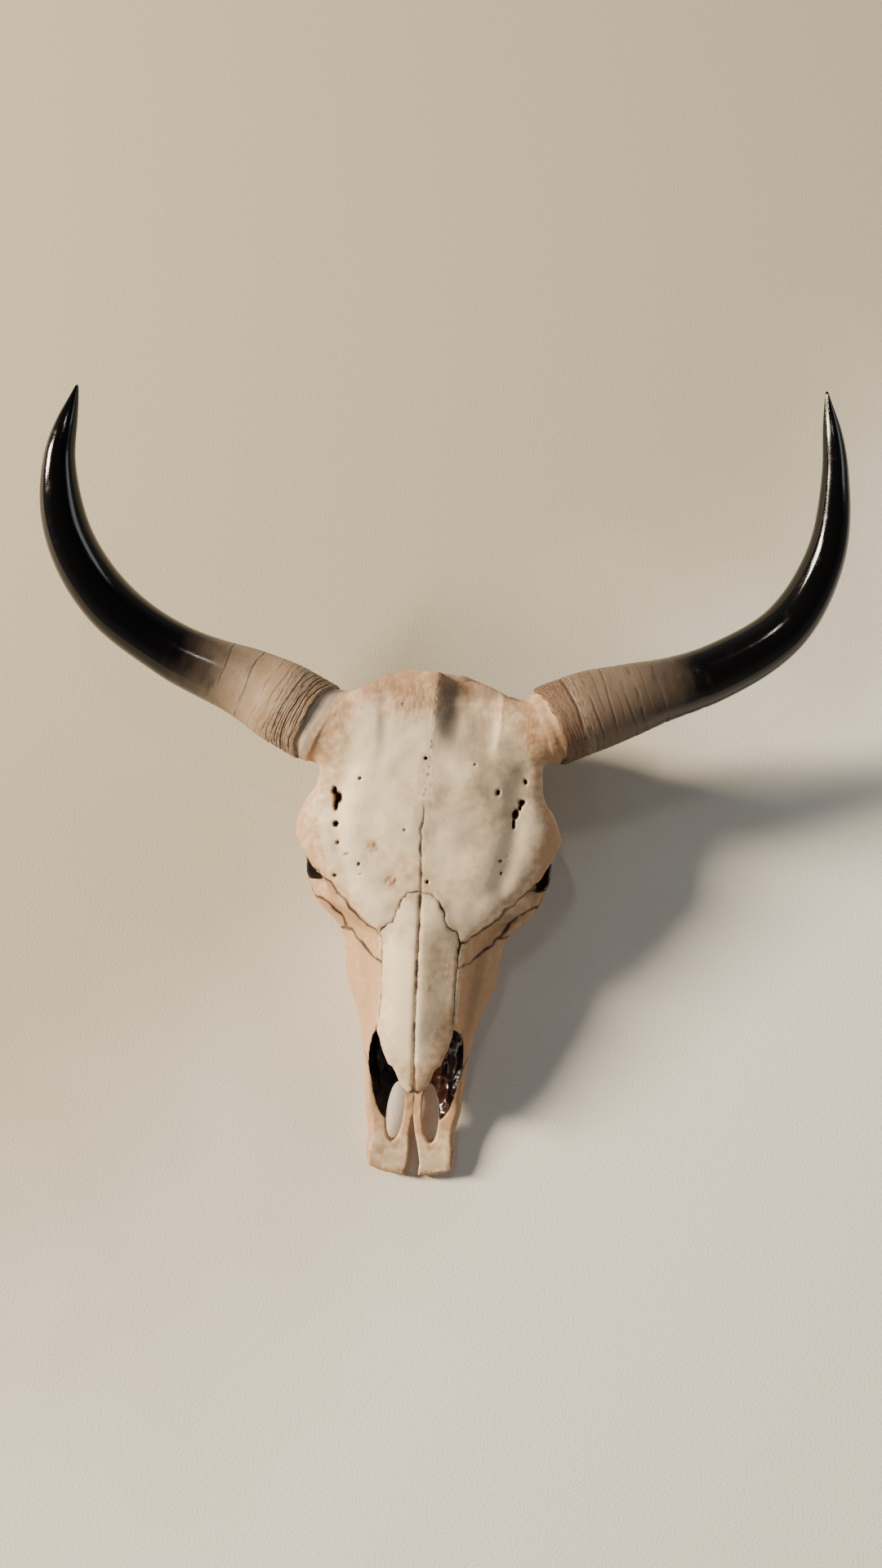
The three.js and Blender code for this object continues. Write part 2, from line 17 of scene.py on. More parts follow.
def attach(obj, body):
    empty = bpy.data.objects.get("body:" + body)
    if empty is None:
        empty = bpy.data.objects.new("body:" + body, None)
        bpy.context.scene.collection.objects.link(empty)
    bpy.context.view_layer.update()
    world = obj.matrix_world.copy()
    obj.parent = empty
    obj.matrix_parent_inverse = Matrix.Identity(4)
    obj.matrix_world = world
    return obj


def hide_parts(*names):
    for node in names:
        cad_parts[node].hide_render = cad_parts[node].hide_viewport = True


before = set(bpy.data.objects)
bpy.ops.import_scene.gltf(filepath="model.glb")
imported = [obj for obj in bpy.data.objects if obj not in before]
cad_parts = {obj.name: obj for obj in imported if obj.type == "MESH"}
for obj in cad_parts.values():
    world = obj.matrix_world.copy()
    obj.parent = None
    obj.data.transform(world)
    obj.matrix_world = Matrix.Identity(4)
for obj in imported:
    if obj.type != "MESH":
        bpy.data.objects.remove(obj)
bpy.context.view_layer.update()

# ---------- driving sizes, millimetres and degrees ----------

MM = 0.001
VOXEL = 1.15
BAND = 13  # voxels of true distance kept on each side of a surface

POLL_HEIGHT = 192
FOREHEAD_TILT = math.radians(16)
BOX_CENTRE = (-3.826, -101.257)  # of the whole skull and horns, before it is moved to the origin

POLL_T = -4
NASION_T = 209
NASAL_TIP_T = 403
MUZZLE_T = 495
FAR = 400

COS, SIN = math.cos(FOREHEAD_TILT), math.sin(FOREHEAD_TILT)
TO_REST = Matrix((
    (MM, 0, 0, -BOX_CENTRE[0] * MM),
    (0, COS * MM, -SIN * MM, -BOX_CENTRE[1] * MM),
    (0, SIN * MM, COS * MM, POLL_HEIGHT * MM),
    (0, 0, 0, 1),
))


def hermite(a, b, leaving, arriving, u):
    """A cubic from a to b as u runs from 0 to 1, with these slopes at its two ends."""
    return (
        a * (1 + 2 * u) * (1 - u) ** 2
        + b * u * u * (3 - 2 * u)
        + leaving * u * (1 - u) ** 2
        - arriving * u * u * (1 - u)
    )


def along(pairs):
    """A smooth function through (position, value) pairs that never overshoots them."""
    x, v = np.array(pairs, float).T
    slope = np.diff(v) / np.diff(x)
    before = np.concatenate([slope[:1], slope])
    after = np.concatenate([slope, slope[-1:]])
    product = before * after
    tangent = np.divide(2 * product, before + after, out=np.zeros_like(product), where=product > 0)

    def value(t):
        t = np.clip(t, x[0], x[-1])
        i = np.clip(np.searchsorted(x, t) - 1, 0, len(x) - 2)
        span = x[i + 1] - x[i]
        u = (t - x[i]) / span
        return hermite(v[i], v[i + 1], tangent[i] * span, tangent[i + 1] * span, u)

    return value


def smoothstep(low, high, value):
    u = np.clip((value - low) / (high - low), 0, 1)
    return u * u * (3 - 2 * u)


# Half widths, heights and depths along the skull, each as (t, value).
crown = along([
    (-4, -12), (4, -3), (20, 2), (60, 5), (150, 6), (260, 6), (330, 5), (365, 1), (391, -4),
    (403, -8), (440, -22), (495, -35),
])
drift = along([(0, 0), (80, -5), (150, -8), (210, -5), (330, -3), (400, 0)])
edge = along([
    (-4, 34), (4, 51), (14, 68), (24, 84), (50, 98), (98, 109), (112, 112), (130, 122), (150, 131),
    (166, 126), (182, 117), (200, 103), (218, 84), (236, 66), (256, 46), (300, 41), (350, 43),
    (376, 47), (400, 46), (430, 45), (456, 42), (470, 43.5), (484, 42), (491, 35), (495, 22),
])
edge_drop = along([
    (-4, 4), (20, 12), (60, 15), (98, 24), (130, 32), (152, 35), (182, 35), (210, 27), (236, 17),
    (256, 11), (300, 11), (350, 14), (400, 12), (495, 4),
])
under_edge_out = along([
    (-4, -2), (60, -4), (100, -8), (165, -10), (198, -4), (216, 8), (236, 8), (300, 4), (350, 4),
    (495, 1),
])
slump = along([(-4, 5), (14, 9), (40, 8), (84, 0)])  # of the crown, on its +w side only
plate = along([
    (-4, 8), (30, 18), (100, 16), (200, 14), (300, 16), (400, 8), (495, 3),
])
waist_wide = along([
    (-4, 30), (14, 64), (30, 82), (46, 80), (66, 69), (100, 62), (160, 58), (196, 60), (207, 88),
    (214, 100), (226, 98), (240, 80), (256, 65), (290, 56), (320, 51), (350, 49.5), (376, 50),
    (400, 48), (430, 46.5), (456, 43), (470, 44.5), (484, 43), (491, 36), (495, 23),
])
waist_at = along([
    (-4, -26), (20, -46), (60, -58), (160, -54), (200, -48), (226, -42), (256, -38), (320, -36),
    (372, -42), (436, -44), (495, -43),
])
cheek_wide = along([
    (-4, 26), (14, 62), (30, 86), (50, 80), (80, 67), (130, 60), (170, 54), (196, 58), (206, 96),
    (213, 112), (222, 108), (232, 92), (243, 83), (256, 79), (285, 79), (303, 77), (318, 71),
    (334, 64), (352, 58), (373, 53), (400, 49.5), (430, 47.5), (456, 43.5), (470, 45), (484, 43.5),
    (491, 36.5), (495, 24),
])
cheek_at = along([
    (-4, -40), (20, -78), (60, -88), (130, -86), (190, -80), (226, -74), (256, -70), (290, -72),
    (320, -64), (345, -58), (372, -55), (436, -50), (495, -47),
])
base_wide = along([
    (-4, 20), (14, 50), (30, 62), (60, 56), (100, 46), (150, 38), (192, 44), (208, 64), (240, 68),
    (290, 65), (320, 57), (345, 49), (400, 43), (470, 39), (488, 34), (495, 19),
])
base_at = along([
    (-4, -48), (8, -92), (24, -114), (50, -124), (86, -127), (130, -108), (165, -95), (196, -95),
    (214, -104), (240, -106), (290, -92), (345, -78), (400, -67), (440, -60), (495, -52),
])
nasal_wide = along([
    (209, 3), (211, 12), (223, 20), (240, 27), (247, 37), (256, 39), (300, 37), (326, 37),
    (345, 35), (363, 30), (371, 26), (376, 24), (378, 19.5), (391, 14), (400, 8), (403, 4),
])
NASAL_THICK = 10

# Seams in plan on the +w side, as (t, w).
FRONTAL_SEAM = [
    (197, 150), (197, 108), (206, 97), (218, 84), (225, 76), (236, 68), (244, 58), (256, 39.5),
]
LACRIMAL_SEAM = [
    (222, 150), (222, 116), (229, 98), (240, 85), (253, 77), (261, 69), (268, 59), (279, 47), (281, 30),
]

# The zygomatic bone from the side, as (t, p).
ZYGOMATIC_SIDE = [
    (128, 0), (128, -120), (204, -120), (222, -108), (240, -94), (250, -80), (256, -64), (258, -44),
    (258, 0),
]

# ---------- the grid that all the fields share ----------

LOW = np.array([-150.0, -506.0, -184.0])
HIGH = np.array([150.0, 22.0, 18.0])
FIRST = np.floor(LOW / VOXEL).astype(int)
COUNT = np.ceil(HIGH / VOXEL).astype(int) - FIRST
AXES = [((FIRST[i] + np.arange(COUNT[i])) * VOXEL).astype(np.float32) for i in range(3)]
W = AXES[0][:, None, None]
T = -AXES[1][None, :, None]
P = AXES[2][None, None, :]
PLAN_W = W[:, :, 0] + 0 * T[:, :, 0]
PLAN_T = T[:, :, 0] + 0 * W[:, :, 0]


def point(t, w, p):
    return np.array([w, -t, p], float)


def part_of_grid(low, high):
    """Slices of the grid that hold the box from low to high, in w, -t and p."""
    start = np.clip(np.floor(np.asarray(low) / VOXEL).astype(int) - FIRST, 0, COUNT - 1)
    stop = np.clip(np.ceil(np.asarray(high) / VOXEL).astype(int) - FIRST + 1, 1, COUNT)
    return tuple(slice(a, b) for a, b in zip(start, stop))


def mesh_distance(points, triangles, quads):
    """The grid slices round a closed mesh, and the signed distance to it there."""
    reach = BAND * VOXEL
    where = part_of_grid(points.min(0) - reach, points.max(0) + reach)
    grid = vdb.FloatGrid.createLevelSetFromPolygons(
        points.astype(np.float32),
        triangles=np.asarray(triangles, np.uint32).reshape(-1, 3),
        quads=np.asarray(quads, np.uint32).reshape(-1, 4),
        transform=vdb.createLinearTransform(voxelSize=VOXEL),
        halfWidth=BAND,
    )
    field = np.empty([s.stop - s.start for s in where], np.float32)
    grid.copyToArray(field, ijk=tuple(int(FIRST[i] + where[i].start) for i in range(3)))
    return where, field


def blend(a, b, soft):
    """Lower envelope of two fields, rounded over soft millimetres."""
    if soft <= 0:
        return np.minimum(a, b)
    near = np.maximum(soft - np.abs(a - b), 0) / soft
    return np.minimum(a, b) - near * near * (soft / 4)


def carve(a, b, soft):
    return -blend(-a, b, soft)


class Solid:
    """A field over the whole grid: negative inside."""

    def __init__(self, where, field):
        self.field = np.full(COUNT, BAND * VOXEL, np.float32)
        self.field[where] = field

    def add(self, shape, soft=0.0):
        where, field = shape
        self.field[where] = blend(self.field[where], field, soft)

    def cut(self, shape, soft=0.0):
        where, field = shape
        self.field[where] = carve(self.field[where], field, soft)


def rings_mesh(rings):
    """Quads between rings of points, and a fan of triangles on each end."""
    count = rings.shape[1]
    ids = np.arange(rings.shape[0] * count).reshape(rings.shape[:2])
    ahead = np.roll(ids, -1, axis=1)
    quads = np.stack([ids[:-1], ahead[:-1], ahead[1:], ids[1:]], -1).reshape(-1, 4)
    hubs = [ids.size, ids.size + 1]
    start = np.stack([ahead[0], ids[0], np.full(count, hubs[0])], -1)
    stop = np.stack([ids[-1], ahead[-1], np.full(count, hubs[1])], -1)
    points = np.concatenate([rings.reshape(-1, 3), [rings[0].mean(0)], [rings[-1].mean(0)]])
    triangles = np.concatenate([start, stop])
    return facing_out(points, triangles, quads)


def facing_out(points, triangles, quads):
    a, b, c = (points[quads[:, i]] for i in range(3))
    if np.einsum("ij,ij->i", a, np.cross(b, c)).sum() < 0:
        return points, triangles[:, ::-1], quads[:, ::-1]
    return points, triangles, quads


def spline(points, steps):
    """Positions and directions on a smooth open path through points."""
    points = np.asarray(points, float)
    tangents = np.gradient(points, axis=0)
    u = np.linspace(0, len(points) - 1, steps + 1)
    i = np.minimum(u.astype(int), len(points) - 2)
    u = (u - i)[:, None]
    place = hermite(points[i], points[i + 1], tangents[i], tangents[i + 1], u)
    ahead = np.gradient(place, axis=0)
    return place, ahead / np.linalg.norm(ahead, axis=1, keepdims=True)


def bar(path, widths, up=(0, 0, 1), sides=24, steps=48):
    """An oval bar along a path. widths are (across, upright) half sizes."""
    place, ahead = spline(path, steps)
    share = np.linspace(0, len(widths) - 1, steps + 1)
    across_at = along([(i, a) for i, (a, _) in enumerate(widths)])(share)[:, None, None]
    upright_at = along([(i, b) for i, (_, b) in enumerate(widths)])(share)[:, None, None]
    across = np.cross(ahead, up)
    across /= np.linalg.norm(across, axis=1, keepdims=True)
    upright = np.cross(across, ahead)
    angle = np.linspace(0, 2 * np.pi, sides, endpoint=False)[None, :, None]
    rings = place[:, None] + across[:, None] * np.cos(angle) * across_at
    rings = rings + upright[:, None] * np.sin(angle) * upright_at
    return mesh_distance(*rings_mesh(rings))


def local(low, high, reach=12):
    """Slices, and the w, t and p of the grid there."""
    where = part_of_grid(np.asarray(low) - reach, np.asarray(high) + reach)
    w, minus_t, p = (AXES[i][where[i]] for i in range(3))
    return where, w[:, None, None], -minus_t[None, :, None], p[None, None, :]


def ball(centre, radii):
    centre, radii = np.asarray(centre, float), np.asarray(radii, float)
    where, w, t, p = local(centre - radii, centre + radii)
    x, y, z = w - centre[0], -t - centre[1], p - centre[2]
    scaled = np.sqrt((x / radii[0]) ** 2 + (y / radii[1]) ** 2 + (z / radii[2]) ** 2)
    steep = np.sqrt((x / radii[0] ** 2) ** 2 + (y / radii[1] ** 2) ** 2 + (z / radii[2] ** 2) ** 2)
    return where, (scaled * (scaled - 1) / np.maximum(steep, 1e-6)).astype(np.float32)


def rod(a, b, radius_a, radius_b):
    """A straight round rod whose radius runs from radius_a to radius_b."""
    a, b = np.asarray(a, float), np.asarray(b, float)
    widest = max(radius_a, radius_b)
    where, w, t, p = local(np.minimum(a, b) - widest, np.maximum(a, b) + widest)
    axis = b - a
    dx, dy, dz = w - a[0], -t - a[1], p - a[2]
    h = np.clip((dx * axis[0] + dy * axis[1] + dz * axis[2]) / (axis @ axis), 0, 1)
    gap = np.sqrt((dx - h * axis[0]) ** 2 + (dy - h * axis[1]) ** 2 + (dz - h * axis[2]) ** 2)
    return where, (gap - (radius_a + (radius_b - radius_a) * h)).astype(np.float32)


def outline_distance(outline, u, v):
    """Signed distance from the points (u, v) to a closed outline, negative inside."""
    best = np.full(u.shape, 1e9, np.float32)
    inside = np.zeros(u.shape, bool)
    for (ax, ay), (bx, by) in zip(outline, outline[1:] + outline[:1]):
        ex, ey = bx - ax, by - ay
        px, py = u - ax, v - ay
        h = np.clip((px * ex + py * ey) / max(ex * ex + ey * ey, 1e-9), 0, 1)
        best = np.minimum(best, (px - h * ex) ** 2 + (py - h * ey) ** 2)
        if ay != by:
            inside ^= ((ay > v) != (by > v)) & (px < ex * py / ey)
    return np.where(inside, -1, 1) * np.sqrt(best)


def spline_rows(axis, spacing, phase=0.0):
    """Cubic B-spline weights that spread a coarse row of values over an axis."""
    place = (axis - axis[0]) / spacing + 1 + phase
    cells = int(place[-1]) + 4
    base = place.astype(int)
    u = place - base
    weights = np.zeros((len(axis), cells), np.float32)
    parts = [
        (1 - u) ** 3 / 6, (3 * u**3 - 6 * u**2 + 4) / 6, (-3 * u**3 + 3 * u**2 + 3 * u + 1) / 6, u**3 / 6,
    ]
    for k, part in enumerate(parts):
        weights[np.arange(len(axis)), base - 1 + k] += part
    return weights


def rough(spacing, seed, axes=(0, 1, 2)):
    """Smooth random field of about -1 to 1 over the given grid axes."""
    rows = [spline_rows(AXES[i].astype(float), spacing) for i in axes]
    rows = [r.astype(np.float32) for r in rows]
    values = np.random.default_rng(seed).uniform(-1, 1, [r.shape[1] for r in rows]).astype(np.float32)
    values = values * 1.8
    for r in rows:
        values = np.tensordot(values, r, axes=([0], [1]))
    return values


# ---------- the whole skull as one field ----------

def section_rings(steps=6, spacing=2.5):
    t = np.linspace(POLL_T, MUZZLE_T, int((MUZZLE_T - POLL_T) / spacing) + 1)
    top, brim = crown(t), crown(t) - edge_drop(t)
    under = brim - plate(t)
    half = [
        (0 * t, top, 1.0, 0.0),
        (0.5 * edge(t), top - 0.16 * edge_drop(t), 0.7, 1.0),
        (0.85 * edge(t), top - 0.55 * edge_drop(t), 0.2, 0.45),
        (edge(t), brim, 0.0, 0.0),
        (edge(t) + under_edge_out(t), under, 0.0, 0.0),
        (waist_wide(t), np.minimum(waist_at(t), under - 2), 0.0, 0.0),
        (cheek_wide(t), cheek_at(t), 0.0, 0.0),
        (base_wide(t), 0.25 * cheek_at(t) + 0.75 * base_at(t), 0.0, 0.0),
        (0.6 * base_wide(t), base_at(t), 0.0, 0.0),
        (0 * t, base_at(t), 0.0, 0.0),
    ]
    right = [(w + pull * drift(t), p - fall * slump(t)) for w, p, pull, fall in half]
    left = [(-w + pull * drift(t), p) for w, p, pull, _ in reversed(half[1:-1])]
    loop = np.array([[w, -t, p] for w, p in right + left]).transpose(2, 0, 1)
    following = np.roll(loop, -1, 1)
    tangent = 0.4 * (following - np.roll(loop, 1, 1))
    arriving = np.roll(tangent, -1, 1)
    rings = [hermite(loop, following, tangent, arriving, u) for u in np.arange(steps) / steps]
    return np.stack(rings, 2).reshape(len(t), -1, 3)


HORN_PATHS = {
    1: [
        (42.5, 110, -33), (26, 147, -32.5), (9, 193, -31), (-20, 267, -22), (-65, 328, -6),
        (-132, 357, 12), (-207, 357, 26), (-281, 342, 34),
    ],
    -1: [
        (53, 116, -33), (36, 150, -32.5), (18, 189, -31), (-8, 260, -22), (-48, 320, -6),
        (-106, 357, 12), (-174, 367, 26), (-244, 352, 34),
    ],
}
HORN_RADII = {  # at even steps from root to tip
    1: [41, 40.5, 36.3, 31.1, 28.6, 26.7, 24.4, 22, 19.3, 16.1, 12.3, 8.4, 1],
    -1: [41, 40.5, 35.9, 31.2, 28.6, 26.6, 26.2, 24.8, 22.5, 19.7, 15.2, 9.8, 1],
}


HORN_SEAT = 38.5  # radius of the bone under the root of a sheath
PEDICLE_T = {1: 48, -1: 56}  # where the bases of the horns stand


def horn_radius(side, share):
    radii = HORN_RADII[side]
    return along([(i / (len(radii) - 1), r) for i, r in enumerate(radii)])(share)


def horn_path(side):
    return np.array([point(t, side * w, p) for t, w, p in HORN_PATHS[side]])


def zygomatic_arch(side):
    path = [
        (284, 66, -74), (252, 78, -73), (227, 102, -75), (204, 115, -80), (177, 120, -85),
        (150, 120, -87), (124, 112, -88), (102, 96, -92), (78, 68, -98), (66, 52, -100),
    ]
    widths = [(8, 12), (9, 15), (9, 19), (6, 15), (5, 12), (6, 12), (5, 9), (6, 9), (9, 13), (10, 14)]
    return bar([point(t, side * w, p) for t, w, p in path], widths, steps=80)


def postorbital_bar(side):
    path = [point(138, side * 114, -30), point(143, side * 121, -58), point(152, side * 120, -88)]
    return bar(path, [(16, 8), (10, 6), (15, 7)], up=(side, 0, 0))


def horn_root(side):
    """Centre of the plane on which a sheath starts, and the way it points."""
    root, following = horn_path(side)[:2]
    return root, (following - root) / np.linalg.norm(following - root)


def pedicle(side):
    """The bony base of a horn, as far as the plane where the sheath starts."""
    root, ahead = horn_root(side)
    t = PEDICLE_T[side]
    path = [point(t, side * 66, -38), point(t, side * 90, -34), root, root + 6 * ahead]
    widths = [(45, 40), (36.5, 38), (HORN_SEAT, HORN_SEAT), (HORN_SEAT, HORN_SEAT)]
    return bar(path, widths, sides=40, steps=40)


def horn_core(side):
    """What runs on inside the sheath; it shows where the sheath's edge has drawn back."""
    root, ahead = horn_root(side)
    path = [root - 9 * ahead, root + 3 * ahead, root + 15 * ahead]
    return bar(path, [(HORN_SEAT, HORN_SEAT)] * 3, sides=40, steps=12)


def beyond_horn_root(side):
    root, ahead = horn_root(side)
    centre = root + ahead
    where, w, t, p = local(root - 50, root + 60)
    depth = (w - centre[0]) * ahead[0] + (-t - centre[1]) * ahead[1] + (p - centre[2]) * ahead[2]
    return where, (-depth).astype(np.float32)


def jugular_process(side):
    path = [point(60, side * 53, -100), point(76, side * 60, -138), point(93, side * 53, -186)]
    return bar(path, [(20, 24), (9.5, 16), (5, 9)], up=(0, 1, 0))


def pterygoid_plate(side):
    outline = [
        (150, -84), (236, -84), (238, -106), (222, -122), (206, -129), (194, -125), (178, -104),
    ]
    where, w, t, p = local((side * 27 - 20, -240, -132), (side * 27 + 20, -146, -80))
    flat = outline_distance(outline, t[0] + 0 * p[0], p[0] + 0 * t[0])[None]
    lean = side * w - 23.5 - 0.09 * (t - 150) * 0.5
    return where, np.maximum(flat, np.abs(lean) - 3.2).astype(np.float32)


def choana():
    throat = [(120, -140), (150, -95), (200, -84), (246, -84), (246, -101), (228, -102), (214, -140)]
    where, w, t, p = local((-22, -246, -150), (22, -110, -84))
    flat = outline_distance(throat, t[0] + 0 * p[0], p[0] + 0 * t[0])[None]
    return where, np.maximum(flat, np.abs(w) - 20).astype(np.float32)


ROW_AT = along([(236, 52), (290, 50), (330, 43), (362, 36)])
TOOTH_LENGTHS = [17, 19, 20, 26, 28, 30]
ROW_FRONT_T = 364
ALVEOLUS_HEIGHT = 23


def resting_height(t, p):
    return -t * SIN + p * COS + POLL_HEIGHT


def tooth_rows(side):
    """Six worn cheek teeth, each lobe a crescent column that stands square to the floor."""
    where, w, t, p = local((side * 46 - 26, -368, -140), (side * 46 + 26, -220, -70))
    height = resting_height(t, p)
    level = t - (height - ALVEOLUS_HEIGHT) * SIN
    out = side * w
    field = np.full(np.broadcast(w, t, p).shape, 20, np.float32)
    front = ROW_FRONT_T
    for i, length in enumerate(TOOTH_LENGTHS):
        lobes = 1 if i < 3 else 2
        half_width = 8 + 0.9 * i
        for lobe in range(lobes):
            middle = front - length * (lobe + 0.5) / lobes
            reach = 0.5 * length / lobes
            row = float(ROW_AT(middle))
            along_row = (level - middle) / (reach * 1.06)
            across = (out - row) / half_width
            size = (np.abs(along_row) ** 3 + np.abs(across) ** 2.4) ** (1 / 2.7)
            column = (size - 1) * min(reach, half_width)
            rib = np.sqrt((level - middle) ** 2 + (out - row - half_width + 1.6) ** 2) - 2.6
            column = blend(column, rib.astype(np.float32), 1.5)
            crescent = np.abs(np.sqrt((level - middle) ** 2 + (out - row + 3) ** 2 * 0.8) - 0.52 * half_width)
            hollow = 1.7 * smoothstep(-0.6, 2.2, -column) * smoothstep(0.5, 2.0, crescent)
            column = np.maximum(column, hollow - height)
            field = np.minimum(field, column)
        front -= length
    field = np.maximum(field, height - 44)
    return where, field.astype(np.float32)


def alveolar_ridge(side):
    path = [point(t, side * float(ROW_AT(t)), p) for t, p in [
        (366, -72), (340, -79), (300, -91), (262, -104), (226, -113),
    ]]
    return bar(path, [(8, 9), (11, 11), (14, 12), (16, 12), (14, 10)], steps=40)


def nasal_cavity():
    wide = along([
        (292, 10), (304, 22), (320, 30), (345, 41), (360, 44.5), (384, 45.5), (400, 42), (431, 33.5),
        (449, 14),
    ])
    roof = along([(292, -14), (320, -5), (350, -8), (392, -17), (449, -20)])
    floor = along([(292, -60), (320, -70), (345, -66), (384, -61), (400, -58), (431, -54), (449, -40)])
    t = np.linspace(292, 449, 64)[:, None]
    angle = np.linspace(0, 2 * np.pi, 40, endpoint=False)[None]
    across = np.sign(np.cos(angle)) * np.abs(np.cos(angle)) ** 0.7
    upright = np.sign(np.sin(angle)) * np.abs(np.sin(angle)) ** 0.7
    middle, half = (roof(t) + floor(t)) / 2, (roof(t) - floor(t)) / 2
    rings = np.stack([across * wide(t), -t + 0 * across, middle + upright * half], -1)
    return mesh_distance(*rings_mesh(rings))


NOSE_RIM = [(334, -3), (346, -19), (372, -33), (400, -40), (430, -43), (474, -41), (488, -42), (508, -48)]


def above_nose_rim():
    where, w, t, p = local((-60, -506, -60), (60, -332, 18))
    outline = [(NOSE_RIM[0][0], FAR)] + NOSE_RIM + [(NOSE_RIM[-1][0], FAR)]
    flat = outline_distance(outline, t[0] + 0 * p[0], p[0] + 0 * t[0])[None]
    return where, (flat + 0 * w).astype(np.float32)


FISSURE_T, FISSURE_W = 434, 17.5
FISSURE_HALF_WIDTH, FISSURE_HALF_LENGTH = 8.6, 28
FISSURE_TURN = math.radians(4)


def palatine_fissure(side):
    """A slot right through the front of the palate, oval and a little turned."""
    where, w, t, p = local((side * FISSURE_W - 12, -468, -110), (side * FISSURE_W + 12, -402, 0))
    turn, wide, long = FISSURE_TURN, FISSURE_HALF_WIDTH, FISSURE_HALF_LENGTH
    dx, dy = side * w - FISSURE_W, t - FISSURE_T
    x, y = dx * math.cos(turn) - dy * math.sin(turn), dx * math.sin(turn) + dy * math.cos(turn)
    size = np.sqrt((x / wide) ** 2 + (y / long) ** 2)
    steep = np.sqrt((x / wide**2) ** 2 + (y / long**2) ** 2)
    return where, (size * (size - 1) / np.maximum(steep, 1e-4) + 0 * p).astype(np.float32)


MUZZLE_GAP = [
    (438, 0.4), (454, 4), (466, 7), (482, 10), (508, 7.5), (508, -8), (482, -3), (466, -1.8), (454, -3),
    (438, -0.4),
]


def muzzle_gap():
    where, w, t, p = local((-14, -508, -80), (14, -430, 0))
    flat = outline_distance(MUZZLE_GAP, (t + 0 * w)[:, :, 0], (w + 0 * t)[:, :, 0])[:, :, None]
    return where, (flat + 0 * p).astype(np.float32)


ORBIT_T, ORBIT_W, ORBIT_P = 177, 116, -58
ORBIT_RADII = (44, 30, 29)

skull = Solid(*mesh_distance(*rings_mesh(section_rings())))
dark = Solid((slice(0, 1),) * 3, BAND * VOXEL)  # what the carved hollows reach
for side in (1, -1):
    skull.add(pedicle(side), 14)
    skull.add(zygomatic_arch(side), 8)
    skull.add(postorbital_bar(side), 10)
    # The two halves of the knuckle that the neck turns on.
    skull.add(ball(point(42, side * 28, -112), (12, 18, 18)), 7)
    skull.add(ball(point(52, side * 21, -128), (14, 21, 15)), 9)
    # The swollen ear bone, with its short spine.
    skull.add(ball(point(121, side * 41, -119), (11, 21, 17)), 5)
    skull.add(rod(point(132, side * 44, -122), point(143, side * 42, -133), 5, 2.5), 6)
    skull.add(jugular_process(side), 8)
    # The bony tube of the ear.
    skull.add(rod(point(108, side * 44, -104), point(104, side * 72, -96), 9, 7), 6)
    skull.cut(beyond_horn_root(side), 2)
    skull.add(horn_core(side), 2)

hollows = []
for side in (1, -1):
    orbit = ball(point(ORBIT_T, side * ORBIT_W, ORBIT_P), ORBIT_RADII)
    skull.field[orbit[0]] -= 2.2 * np.exp(-(((orbit[1] - 2) / 4.5) ** 2))  # its raised rim
    hollows.append(orbit)
    hollows.append(rod(point(172, side * 92, -60), point(150, side * 48, -70), 20, 6))  # back of the socket
    hollows.append(rod(point(104, side * 66, -97), point(103, side * 84, -94), 3.2, 3.2))  # ear opening
hollows.append(rod(point(80, 0, -104), point(-4, 0, -108), 13, 18))  # opening for the spinal cord
for hollow in hollows:
    skull.cut(hollow, 2.5)
    dark.add(hollow)
for side in (1, -1):  # the far wall of an orbit is stained like the rest of it
    dark.add(ball(point(177, side * 84, -62), (34, 35, 34)))
skull.cut(choana(), 3)
for side in (1, -1):
    skull.add(pterygoid_plate(side), 5)
    skull.add(alveolar_ridge(side), 8)

# Relief on the forehead, as seen from above: grooves and holes lower it, swellings raise it.
HOLES = [  # t, w, radius along t, radius across, depth
    (118, -94, 3.6, 2.0, 7), (124, -90, 5.4, 3.8, 10), (132, -92, 4.6, 2.2, 8), (150, -91, 2.6, 2.4, 6),
    (168, -88, 1.9, 1.5, 3), (178, -79, 1.2, 2.4, 2.4), (187, -66, 1.4, 1.6, 3.4), (200, -89, 1.7, 2.2, 3),
    (196, -63, 1.1, 1.8, 2), (104, -70, 1.6, 1.6, 3.6), (82, -8, 1.7, 1.7, 5), (110, 63, 2.2, 2.0, 6),
    (98, 89, 2.6, 1.5, 6), (118, 87, 2.6, 3.2, 7), (123, 85, 3.0, 1.5, 6), (130, 81, 4.6, 2.6, 9),
    (139, 80, 4.6, 1.3, 7), (176, 69, 1.6, 2.2, 3), (171, 76, 0.9, 0.9, 2), (188, 71, 1.6, 1.6, 3),
    (199, 1, 1.4, 1.4, 5), (151, -24, 1.1, 1.5, 2.4), (85, 39, 1.3, 1.3, 2.6), (31, -33, 0.9, 1.3, 2),
]
SCUFFS = [(168, -54, 6), (201, -33, 6)]  # t, w, radius


def groove(path, width, depth):
    """A soft trough along a line in plan."""
    best = np.full(PLAN_W.shape, 1e9, np.float32)
    for (at, aw), (bt, bw) in zip(path, path[1:]):
        et, ew = bt - at, bw - aw
        h = np.clip(((PLAN_T - at) * et + (PLAN_W - aw) * ew) / (et * et + ew * ew), 0, 1)
        best = np.minimum(best, (PLAN_T - at - h * et) ** 2 + (PLAN_W - aw - h * ew) ** 2)
    return depth * np.exp(-best / width**2)


